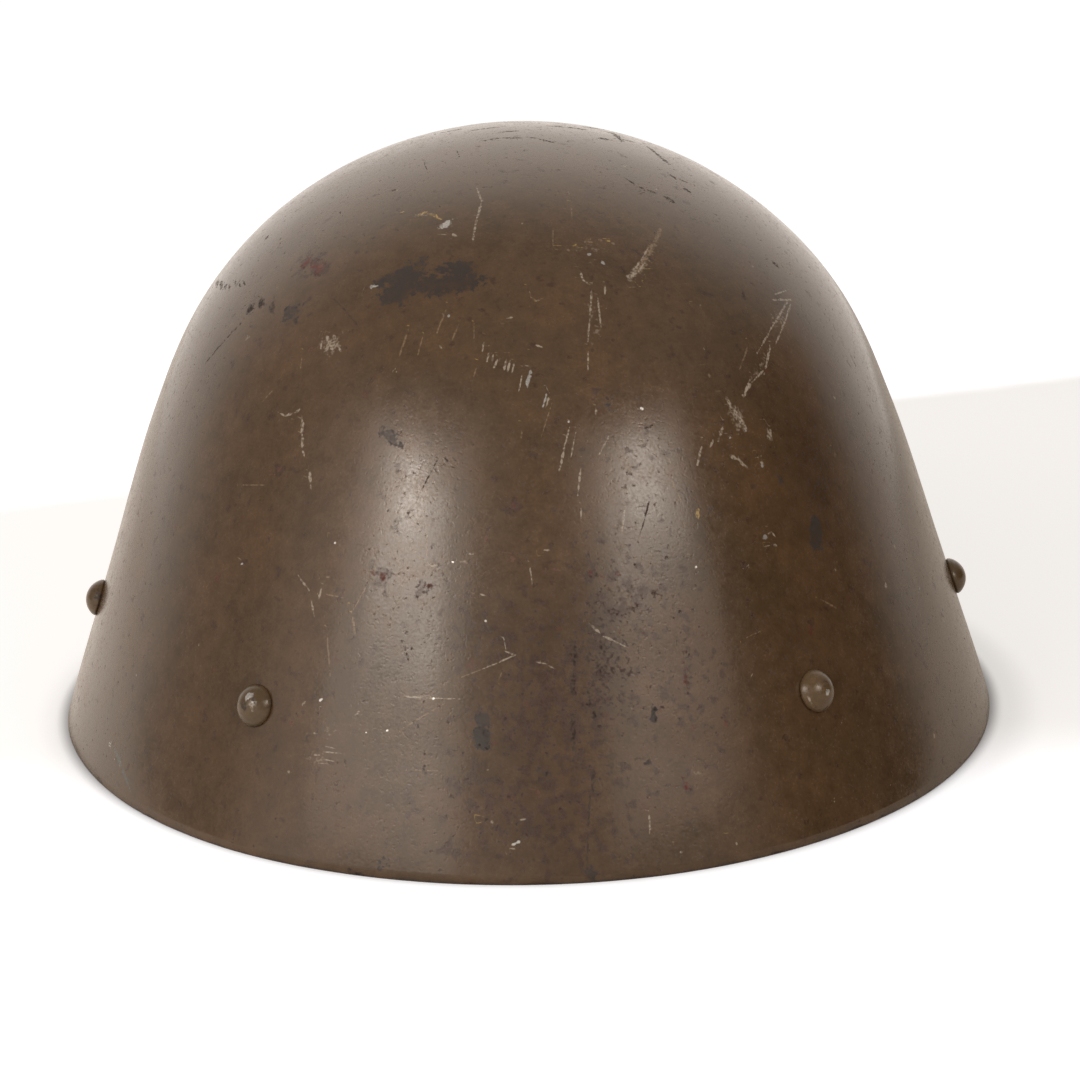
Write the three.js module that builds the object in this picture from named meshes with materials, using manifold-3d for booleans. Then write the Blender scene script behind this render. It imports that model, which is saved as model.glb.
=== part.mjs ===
// A steel helmet: the bare one-piece shell, egg-shaped in plan, with a conical skirt that runs up into a round dome,
// a plain cut rim with no brim, and three pairs of large domed rivets round the skirt.
// Millimetres, +Z up. The rim lies on Z = 0, the brow faces -Y, and the origin is the middle of the rim's box.
import * as THREE from 'three';
import { mergeVertices } from 'three/addons/utils/BufferGeometryUtils.js';
import Module from 'manifold-3d';

// Shell sizes
const RIM_WIDTH = 244;
const BROW_REACH = 145; // from the widest line forward to the rim
const NAPE_REACH = 137; // from the widest line back to the rim
const SHELL_HEIGHT = 148;
const WALL = 1.2;

// Plan curve's exponent: 2 is an ellipse, and more is fuller at the corners
const BROW_EXPONENT = 2;
const NAPE_EXPONENT = 2.12;

// Side curve: how wide each ring is against a plain half ellipsoid, from the rim at latitude 0 to the crown at 90
const DOME_SECTIONS = [
  { latitude: 0, fullness: 1.0 },
  { latitude: 10, fullness: 0.944 },
  { latitude: 20, fullness: 0.917 },
  { latitude: 32, fullness: 0.922 },
  { latitude: 45, fullness: 0.957 },
  { latitude: 58, fullness: 0.985 },
  { latitude: 72, fullness: 1.006 },
  { latitude: 90, fullness: 1.02 },
];

// Rivet sizes
const RIVET_HEIGHT = 30; // of each rivet's centre above the rim
const HEAD_RADIUS = 4.75;
const HEAD_HEIGHT = 3.2;
const HEAD_EDGE = 0.45; // the upright edge below the dome
const SHANK_RADIUS = 2.4;
const TAIL_RADIUS = 4;
const TAIL_HEIGHT = 1.4;
const TAIL_BEVEL = 0.6;

// Clearances
const SEAT_GAP = 0.3; // between a rivet's head or tail and the shell
const SHANK_GAP = 0.3; // between a shank and its hole

// Each pair stands left and right of the middle, at this bearing from the brow
const RIVET_PAIRS = [
  { name: 'brow', bearing: 33.5 },
  { name: 'temple', bearing: 82 },
  { name: 'nape', bearing: 141 },
];

// Facets
const BEARING_STEPS = 72;
const LATITUDE_STEPS = 20;
const RIVET_SIDES = 20;
const DOME_STEPS = 5;

const WIDEST_LINE = (BROW_REACH - NAPE_REACH) / 2;
const UP = new THREE.Vector3(0, 0, 1);

// Paint
const PAINT_COLOUR = 0x66543f;
const RIVET_PAINT_COLOUR = 0x6a5737;
const PAINT_ROUGHNESS = 0.45;
const PAINT_METALNESS = 0.1;

const radians = THREE.MathUtils.degToRad;

// The slope of the side curve at one row of its table, by the rows on either side.
function slopeAt(row) {
  const last = DOME_SECTIONS.length - 1;
  if (row === last) return 0;
  const rise = (i) => {
    const low = DOME_SECTIONS[i];
    const high = DOME_SECTIONS[i + 1];
    return (high.fullness - low.fullness) / (high.latitude - low.latitude);
  };
  if (row > 0) return (rise(row - 1) + rise(row)) / 2;
  return (3 * rise(0) - slopeAt(1)) / 2;
}

// How wide the ring at a latitude is, as a share of the rim, on a smooth curve through the table.
function ringShare(latitude) {
  const last = DOME_SECTIONS.length - 1;
  let row = 0;
  while (row < last - 1 && latitude > DOME_SECTIONS[row + 1].latitude) row += 1;
  const low = DOME_SECTIONS[row];
  const high = DOME_SECTIONS[row + 1];
  const span = high.latitude - low.latitude;
  const t = (latitude - low.latitude) / span;
  const fullness =
    (2 * t ** 3 - 3 * t ** 2 + 1) * low.fullness +
    (t ** 3 - 2 * t ** 2 + t) * span * slopeAt(row) +
    (3 * t ** 2 - 2 * t ** 3) * high.fullness +
    (t ** 3 - t ** 2) * span * slopeAt(row + 1);
  return fullness * Math.cos(radians(latitude));
}

// A sine or cosine bent to the plan curve.
function rounded(value, exponent) {
  return Math.sign(value) * Math.abs(value) ** (2 / exponent);
}

// The outer face: bearing 0 is the brow, 90 is at +X and 180 is the nape.
function outerPoint(latitude, bearing) {
  const ahead = Math.cos(radians(bearing));
  const aside = Math.sin(radians(bearing));
  const reach = ahead >= 0 ? BROW_REACH : NAPE_REACH;
  const exponent = ahead >= 0 ? BROW_EXPONENT : NAPE_EXPONENT;
  const share = ringShare(latitude);
  return new THREE.Vector3(
    (RIM_WIDTH / 2) * share * rounded(aside, exponent),
    WIDEST_LINE - reach * share * rounded(ahead, exponent),
    SHELL_HEIGHT * Math.sin(radians(latitude)),
  );
}

// The way out of the shell, square to its outer face.
function outwardAt(latitude, bearing) {
  const step = 0.01;
  const round = outerPoint(latitude, bearing + step).sub(outerPoint(latitude, bearing - step));
  const rise = outerPoint(latitude + step, bearing).sub(outerPoint(latitude - step, bearing));
  return round.cross(rise).normalize();
}

function innerPoint(latitude, bearing) {
  return outerPoint(latitude, bearing).addScaledVector(outwardAt(latitude, bearing), -WALL);
}

// The latitude whose inner point lies on the rim's plane, because the wall leans and the rim is cut flat.
function innerRimLatitude(bearing) {
  let latitude = 0;
  for (let pass = 0; pass < 6; pass += 1) {
    const drop = WALL * outwardAt(latitude, bearing).z;
    latitude = THREE.MathUtils.radToDeg(Math.asin(drop / SHELL_HEIGHT));
  }
  return latitude;
}

// One face of the shell as rings from the rim up to the crown.
function faceRings(pointAt, firstLatitudeAt) {
  const rings = [];
  for (let i = 0; i < LATITUDE_STEPS; i += 1) {
    const ring = [];
    for (let j = 0; j < BEARING_STEPS; j += 1) {
      const bearing = (j * 360) / BEARING_STEPS;
      const first = firstLatitudeAt(bearing);
      const point = pointAt(first + ((90 - first) * i) / LATITUDE_STEPS, bearing);
      if (i === 0) point.z = 0;
      ring.push(point);
    }
    rings.push(ring);
  }
  return rings;
}

// The shell before it is drilled: outer face, inner face and the flat cut rim between them.
function shellBlank() {
  const outer = faceRings(outerPoint, () => 0);
  const inner = faceRings(innerPoint, innerRimLatitude);
  const outerCrown = new THREE.Vector3(0, WIDEST_LINE, SHELL_HEIGHT);
  const innerCrown = outerCrown.clone().addScaledVector(UP, -WALL);
  const corners = [];
  const triangle = (a, b, c) => corners.push(...a.toArray(), ...b.toArray(), ...c.toArray());
  const quad = (a, b, c, d) => {
    triangle(a, b, c);
    triangle(a, c, d);
  };
  for (let j = 0; j < BEARING_STEPS; j += 1) {
    const k = (j + 1) % BEARING_STEPS;
    for (let i = 0; i + 1 < LATITUDE_STEPS; i += 1) {
      quad(outer[i][j], outer[i][k], outer[i + 1][k], outer[i + 1][j]);
      quad(inner[i][k], inner[i][j], inner[i + 1][j], inner[i + 1][k]);
    }
    const top = LATITUDE_STEPS - 1;
    triangle(outer[top][j], outer[top][k], outerCrown);
    triangle(inner[top][k], inner[top][j], innerCrown);
    quad(inner[0][j], inner[0][k], outer[0][k], outer[0][j]);
  }
  const geometry = new THREE.BufferGeometry();
  geometry.setAttribute('position', new THREE.Float32BufferAttribute(corners, 3));
  return geometry;
}

// Where each rivet stands: the point on the outer face and the way out.
function rivetSeats() {
  const latitude = THREE.MathUtils.radToDeg(Math.asin(RIVET_HEIGHT / SHELL_HEIGHT));
  const seats = [];
  for (const pair of RIVET_PAIRS) {
    for (const [side, sign] of [['left', 1], ['right', -1]]) {
      const bearing = sign * pair.bearing;
      seats.push({
        name: `${pair.name}_rivet_${side}`,
        point: outerPoint(latitude, bearing),
        outward: outwardAt(latitude, bearing),
      });
    }
  }
  return seats;
}

function turnedTo(outward) {
  return new THREE.Quaternion().setFromUnitVectors(new THREE.Vector3(0, 1, 0), outward);
}

// A solid that manifold can cut, from a closed geometry.
function solidFrom(wasm, geometry) {
  const bare = geometry.clone();
  bare.deleteAttribute('normal');
  bare.deleteAttribute('uv');
  const merged = mergeVertices(bare, 1e-5);
  const mesh = new wasm.Mesh({
    numProp: 3,
    vertProperties: Float32Array.from(merged.attributes.position.array),
    triVerts: Uint32Array.from(merged.index.array),
  });
  return new wasm.Manifold(mesh);
}

// The shell with a clear hole through the wall at each rivet.
function drilledShell(wasm, seats) {
  let shell = solidFrom(wasm, shellBlank());
  const drillLength = 8 * WALL;
  for (const seat of seats) {
    const drill = new THREE.CylinderGeometry(
      SHANK_RADIUS + SHANK_GAP,
      SHANK_RADIUS + SHANK_GAP,
      drillLength,
      RIVET_SIDES,
    );
    drill.applyQuaternion(turnedTo(seat.outward));
    drill.translate(...seat.point.toArray());
    shell = shell.subtract(solidFrom(wasm, drill));
  }
  const cut = shell.getMesh();
  const geometry = new THREE.BufferGeometry();
  geometry.setAttribute('position', new THREE.BufferAttribute(cut.vertProperties, 3));
  geometry.setIndex(new THREE.BufferAttribute(cut.triVerts, 1));
  geometry.computeVertexNormals();
  return geometry;
}

// A rivet turned about +Y, with the shell's outer face at Y = 0: domed head, shank and low upset tail.
function rivetGeometry() {
  // The inner face is hollow and faceted, so it stands nearer to the tail's edge than to its middle.
  const hollowRise = TAIL_RADIUS ** 2 / RIM_WIDTH;
  const facetRise = (RIM_WIDTH / 2) * (1 - Math.cos(Math.PI / BEARING_STEPS));
  const tailTop = -WALL - SEAT_GAP - hollowRise - facetRise;
  const domeRise = HEAD_HEIGHT - HEAD_EDGE;
  const domeRadius = (HEAD_RADIUS ** 2 + domeRise ** 2) / (2 * domeRise);
  const domeCentre = SEAT_GAP + HEAD_HEIGHT - domeRadius;
  const domeSweep = Math.asin(HEAD_RADIUS / domeRadius);
  const profile = [
    new THREE.Vector2(0, tailTop - TAIL_HEIGHT),
    new THREE.Vector2(TAIL_RADIUS - TAIL_BEVEL, tailTop - TAIL_HEIGHT),
    new THREE.Vector2(TAIL_RADIUS, tailTop - TAIL_HEIGHT + TAIL_BEVEL),
    new THREE.Vector2(TAIL_RADIUS, tailTop),
    new THREE.Vector2(SHANK_RADIUS, tailTop),
    new THREE.Vector2(SHANK_RADIUS, SEAT_GAP),
    new THREE.Vector2(HEAD_RADIUS, SEAT_GAP),
  ];
  for (let i = 0; i <= DOME_STEPS; i += 1) {
    const angle = domeSweep * (1 - i / DOME_STEPS);
    const radius = i < DOME_STEPS ? domeRadius * Math.sin(angle) : 0;
    profile.push(new THREE.Vector2(radius, domeCentre + domeRadius * Math.cos(angle)));
  }
  return new THREE.LatheGeometry(profile, RIVET_SIDES);
}

const wasm = await Module();
wasm.setup();

const helmet = new THREE.Group();
const seats = rivetSeats();

const shellPaint = new THREE.MeshStandardMaterial({
  color: PAINT_COLOUR,
  roughness: PAINT_ROUGHNESS,
  metalness: PAINT_METALNESS,
});
const shell = new THREE.Mesh(drilledShell(wasm, seats), shellPaint);
shell.name = 'shell';
helmet.add(shell);

for (const seat of seats) {
  const rivetPaint = new THREE.MeshStandardMaterial({
    color: RIVET_PAINT_COLOUR,
    roughness: PAINT_ROUGHNESS,
    metalness: PAINT_METALNESS,
  });
  const rivet = new THREE.Mesh(rivetGeometry(), rivetPaint);
  rivet.name = seat.name;
  rivet.position.copy(seat.point);
  rivet.quaternion.copy(turnedTo(seat.outward));
  helmet.add(rivet);
}

export default helmet;
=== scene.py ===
"""A worn steel helmet shell with domed rivets, resting on its rim in a plain white studio."""

import logging
import math
from dataclasses import dataclass, field
from enum import Enum, IntEnum
from functools import reduce
from typing import Any, Iterable, Optional, Union

import bpy
import numpy as np
from mathutils import Matrix, Vector
from mathutils.bvhtree import BVHTree


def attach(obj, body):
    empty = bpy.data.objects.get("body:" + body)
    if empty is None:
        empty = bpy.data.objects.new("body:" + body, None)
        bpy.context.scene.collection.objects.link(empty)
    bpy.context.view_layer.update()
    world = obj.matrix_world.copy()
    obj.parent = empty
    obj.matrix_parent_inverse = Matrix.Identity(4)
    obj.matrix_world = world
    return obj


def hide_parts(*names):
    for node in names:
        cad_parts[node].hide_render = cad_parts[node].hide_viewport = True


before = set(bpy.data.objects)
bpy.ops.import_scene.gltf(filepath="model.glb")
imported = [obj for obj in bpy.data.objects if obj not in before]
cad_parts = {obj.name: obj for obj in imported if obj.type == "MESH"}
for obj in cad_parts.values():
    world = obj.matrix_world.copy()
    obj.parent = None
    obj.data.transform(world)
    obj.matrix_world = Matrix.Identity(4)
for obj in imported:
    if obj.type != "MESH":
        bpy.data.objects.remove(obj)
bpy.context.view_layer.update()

log = logging.getLogger("helmet")
Colour = tuple[float, float, float]
Rows = tuple[tuple[float, ...], ...]


# Shader maths


class Value:
    """An output socket of a node, with arithmetic that adds Math nodes."""

    def __init__(self, board: "Board", socket: bpy.types.NodeSocket) -> None:
        """Wraps one output socket of a board's node."""
        self.board = board
        self.socket = socket

    def _math(self, operation: str, *operands: "Feed") -> "Value":
        """Adds one Math node.

        Args:
            operation: the Math node's operation.
            operands: the values or links of its sockets, in order.

        Returns:
            The node's result.
        """
        return self.board.value("ShaderNodeMath", {"operation": operation}, dict(enumerate(operands)))

    def __add__(self, other: "Feed") -> "Value":
        """Self plus other."""
        return self._math("ADD", self, other)

    def __radd__(self, other: float) -> "Value":
        """Other plus self."""
        return self._math("ADD", other, self)

    def __sub__(self, other: "Feed") -> "Value":
        """Self minus other."""
        return self._math("SUBTRACT", self, other)

    def __rsub__(self, other: float) -> "Value":
        """Other minus self."""
        return self._math("SUBTRACT", other, self)

    def __mul__(self, other: "Feed") -> "Value":
        """Self times other."""
        return self._math("MULTIPLY", self, other)

    def __rmul__(self, other: float) -> "Value":
        """Other times self."""
        return self._math("MULTIPLY", other, self)

    def __lt__(self, other: "Feed") -> "Value":
        """One where self is less than other, and elsewhere zero."""
        return self._math("LESS_THAN", self, other)

    def __gt__(self, other: "Feed") -> "Value":
        """One where self is more than other, and elsewhere zero."""
        return self._math("GREATER_THAN", self, other)

    def most(self, other: "Feed") -> "Value":
        """The larger of self and other."""
        return self._math("MAXIMUM", self, other)

    def least(self, other: "Feed") -> "Value":
        """The smaller of self and other."""
        return self._math("MINIMUM", self, other)

    def smooth(self, low: float, high: float, start: float = 0.0, end: float = 1.0) -> "Value":
        """Eases from start to end as self goes from low to high.

        Args:
            low: where the change starts.
            high: where it ends.
            start: the result at low.
            end: the result at high.

        Returns:
            The eased value.
        """
        settings = {"interpolation_type": "SMOOTHSTEP"}
        return self.board.value("ShaderNodeMapRange", settings, {0: self, 1: low, 2: high, 3: start, 4: end})


Feed = Union[Value, float, tuple]


class Board:
    """The nodes of one material or world."""

    def __init__(self, tree: bpy.types.NodeTree) -> None:
        """Empties the tree for new nodes."""
        self.tree = tree
        tree.nodes.clear()

    def add(self, kind: str, settings: dict[str, Any], sockets: dict[Any, Feed]) -> bpy.types.Node:
        """Adds one node.

        Args:
            kind: the node's type.
            settings: its properties, set before its sockets; "stops" fills a colour ramp.
            sockets: a value or link for each socket, by name or number.

        Returns:
            The node.
        """
        node = self.tree.nodes.new(kind)
        for name, setting in settings.items():
            if name == "stops":
                self._fill_ramp(node.color_ramp, setting)
            else:
                setattr(node, name, setting)
        for key, feed in sockets.items():
            socket = node.inputs[key]
            if isinstance(feed, Value):
                self.tree.links.new(feed.socket, socket)
            elif isinstance(feed, tuple) and socket.type == "RGBA":
                socket.default_value = (*feed, 1.0)
            else:
                socket.default_value = feed
        return node

    def value(self, kind: str, settings: dict[str, Any], sockets: dict[Any, Feed], output: Any = 0) -> Value:
        """Adds one node and wraps one of its outputs.

        Args:
            kind: the node's type.
            settings: its properties.
            sockets: a value or link for each socket.
            output: the output's name or number.

        Returns:
            The wrapped output.
        """
        return Value(self, self.add(kind, settings, sockets).outputs[output])

    @staticmethod
    def _fill_ramp(ramp: bpy.types.ColorRamp, stops: Iterable[tuple[float, Colour, float]]) -> None:
        """Sets a ramp to steps, each colour holding until the next stop.

        Args:
            ramp: the ramp.
            stops: each stop's place, colour and strength.
        """
        ramp.interpolation = "CONSTANT"
        while len(ramp.elements) > 1:
            ramp.elements.remove(ramp.elements[-1])
        for index, (place, colour, strength) in enumerate(stops):
            element = ramp.elements[0] if index == 0 else ramp.elements.new(place)
            element.position = place
            element.color = (*colour, strength)

    def place(self) -> Value:
        """The place on the object, in metres."""
        return self.value("ShaderNodeTexCoord", {}, {}, "Object")

    def stretch(self, vector: Value, scale: tuple[float, float, float]) -> Value:
        """The vector with each part scaled."""
        return self.value("ShaderNodeVectorMath", {"operation": "MULTIPLY"}, {0: vector, 1: scale})

    def length(self, vector: Value) -> Value:
        """The vector's length."""
        return self.value("ShaderNodeVectorMath", {"operation": "LENGTH"}, {0: vector}, "Value")

    def bump(self, height: Value, distance: float) -> Value:
        """The normal of a surface whose relief is the height times the distance, in metres."""
        return self.value("ShaderNodeBump", {}, {"Strength": 1.0, "Distance": distance, "Height": height})

    def noise(self, vector: Value, grain: float, detail: float = 2.0, roughness: float = 0.5) -> Value:
        """Cloudy noise.

        Args:
            vector: the place.
            grain: the size of one cloud, in metres.
            detail: how many finer octaves it has.
            roughness: how strong they are.

        Returns:
            The noise, from 0 to 1.
        """
        sockets = {"Vector": vector, "Scale": 1 / grain, "Detail": detail, "Roughness": roughness}
        return self.value("ShaderNodeTexNoise", {}, sockets, "Fac")

    def mix(self, factor: Feed, first: Feed, second: Feed, blend: str = "MIX") -> Value:
        """Blends two colours.

        Args:
            factor: how much of the second shows.
            first: the colour below.
            second: the colour on top.
            blend: the way that they blend.

        Returns:
            The blended colour.
        """
        settings = {"data_type": "RGBA", "blend_type": blend}
        return self.value("ShaderNodeMix", settings, {0: factor, 6: first, 7: second}, 2)

    def parts(self, vector: Value) -> tuple[Value, Value, Value]:
        """The three parts of a vector or colour."""
        node = self.add("ShaderNodeSeparateXYZ", {}, {0: vector})
        return Value(self, node.outputs[0]), Value(self, node.outputs[1]), Value(self, node.outputs[2])

    def attribute(self, name: str) -> tuple[Value, Value]:
        """The first three parts of a named attribute as a vector, and its fourth."""
        node = self.add("ShaderNodeAttribute", {"attribute_name": name}, {})
        return Value(self, node.outputs["Vector"]), Value(self, node.outputs["Alpha"])


def new_board(name: str) -> tuple[bpy.types.Material, Board]:
    """Makes a material with nodes.

    Args:
        name: the material's name.

    Returns:
        The material and its empty board.
    """
    material = bpy.data.materials.new(name)
    material.use_nodes = True
    return material, Board(material.node_tree)


def finish_surface(board: Board, sockets: dict[str, Feed]) -> None:
    """Adds the shader and the output.

    Args:
        board: the material's board.
        sockets: what feeds the shader.
    """
    shader = board.value("ShaderNodeBsdfPrincipled", {}, sockets)
    board.add("ShaderNodeOutputMaterial", {}, {"Surface": shader})


# Objects


def new_object(name: str, data: Any) -> bpy.types.Object:
    """Makes an object and links it to the scene.

    Args:
        name: the object's name.
        data: its mesh, lamp or camera.

    Returns:
        The object.
    """
    made = bpy.data.objects.new(name, data)
    bpy.context.scene.collection.objects.link(made)
    return made


# The picture's view


@dataclass(frozen=True)
class PictureView:
    """The camera, as it stands in front of the brow. Lengths in metres, angles in degrees."""

    picture: int = 1080
    focal: float = 2248.0  # in picture pixels
    sensor: float = 36.0
    distance: float = 0.601
    elevation: float = 14.232
    yaw: float = 1.2058
    roll: float = 1.1333
    target: tuple[float, float, float] = (0.003865, 0.004, 0.0378)
    nearest: float = 0.01

    def axes(self) -> tuple[Vector, Vector, Vector]:
        """Works out how the camera is turned.

        Returns:
            The picture's right, up and backward directions.
        """
        rise = math.radians(self.elevation)
        turn = Matrix.Rotation(-math.radians(self.yaw), 3, "Z")
        right = turn @ Vector((1, 0, 0))
        up = turn @ Vector((0, math.sin(rise), math.cos(rise)))
        tilt = math.radians(self.roll)
        across = math.cos(tilt) * right - math.sin(tilt) * up
        upward = math.sin(tilt) * right + math.cos(tilt) * up
        return across, upward, across.cross(upward)

    def eye(self) -> Vector:
        """Works out where the camera stands.

        Returns:
            The place.
        """
        turn = Matrix.Rotation(-math.radians(self.yaw), 3, "Z")
        aim_x, middle, aim_z = self.target
        aim = turn @ Vector((aim_x, 0, aim_z)) + Vector((0, middle, 0))
        return aim + self.axes()[2] * self.distance

    def ray(self, x: float, y: float) -> Vector:
        """Looks from the eye through a point of the picture.

        Args:
            x: pixels from the picture's left.
            y: pixels from its top.

        Returns:
            The direction.
        """
        across, upward, backward = self.axes()
        half = self.picture / 2
        way = across * (x - half) - upward * (y - half) - backward * self.focal
        return way.normalized()

    def build(self) -> bpy.types.Object:
        """Makes the camera and looks through it.

        Returns:
            The camera's object.
        """
        data = bpy.data.cameras.new("picture_camera")
        data.sensor_width = self.sensor
        data.lens = self.focal / self.picture * self.sensor
        data.clip_start = self.nearest
        camera = new_object("picture_camera", data)
        across, upward, backward = self.axes()
        turn = Matrix((across, upward, backward)).transposed().to_4x4()
        camera.matrix_world = Matrix.Translation(self.eye()) @ turn
        bpy.context.scene.camera = camera
        return camera


# Marks in the paint


class Tone(Enum):
    """What a mark shows, by its place on the tone ramp."""

    DARK = 0.07
    RED = 0.21
    OCHRE = 0.35
    TAN = 0.50
    PALE = 0.64
    STEEL = 0.78
    BLUE = 0.92


TONE_COLOURS: dict[Tone, Colour] = {
    Tone.DARK: (0.020, 0.012, 0.010),
    Tone.RED: (0.120, 0.034, 0.028),
    Tone.OCHRE: (0.40, 0.27, 0.085),
    Tone.TAN: (0.24, 0.17, 0.105),
    Tone.PALE: (0.38, 0.33, 0.27),
    Tone.STEEL: (0.50, 0.49, 0.47),
    Tone.BLUE: (0.08, 0.13, 0.13),
}
TONE_STRENGTHS: dict[Tone, float] = {
    Tone.DARK: 0.72, Tone.RED: 0.45, Tone.OCHRE: 0.75, Tone.TAN: 0.55,
    Tone.PALE: 0.68, Tone.STEEL: 0.95, Tone.BLUE: 0.6,
}
TONE_STEP = 0.07  # half the gap between two tones on the ramp
PAINT_CUT = 0.28  # tones below it darken the paint, and those above it lay it open
METAL_TONES = (0.70, 0.86)  # tones between these are bare metal

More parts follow.
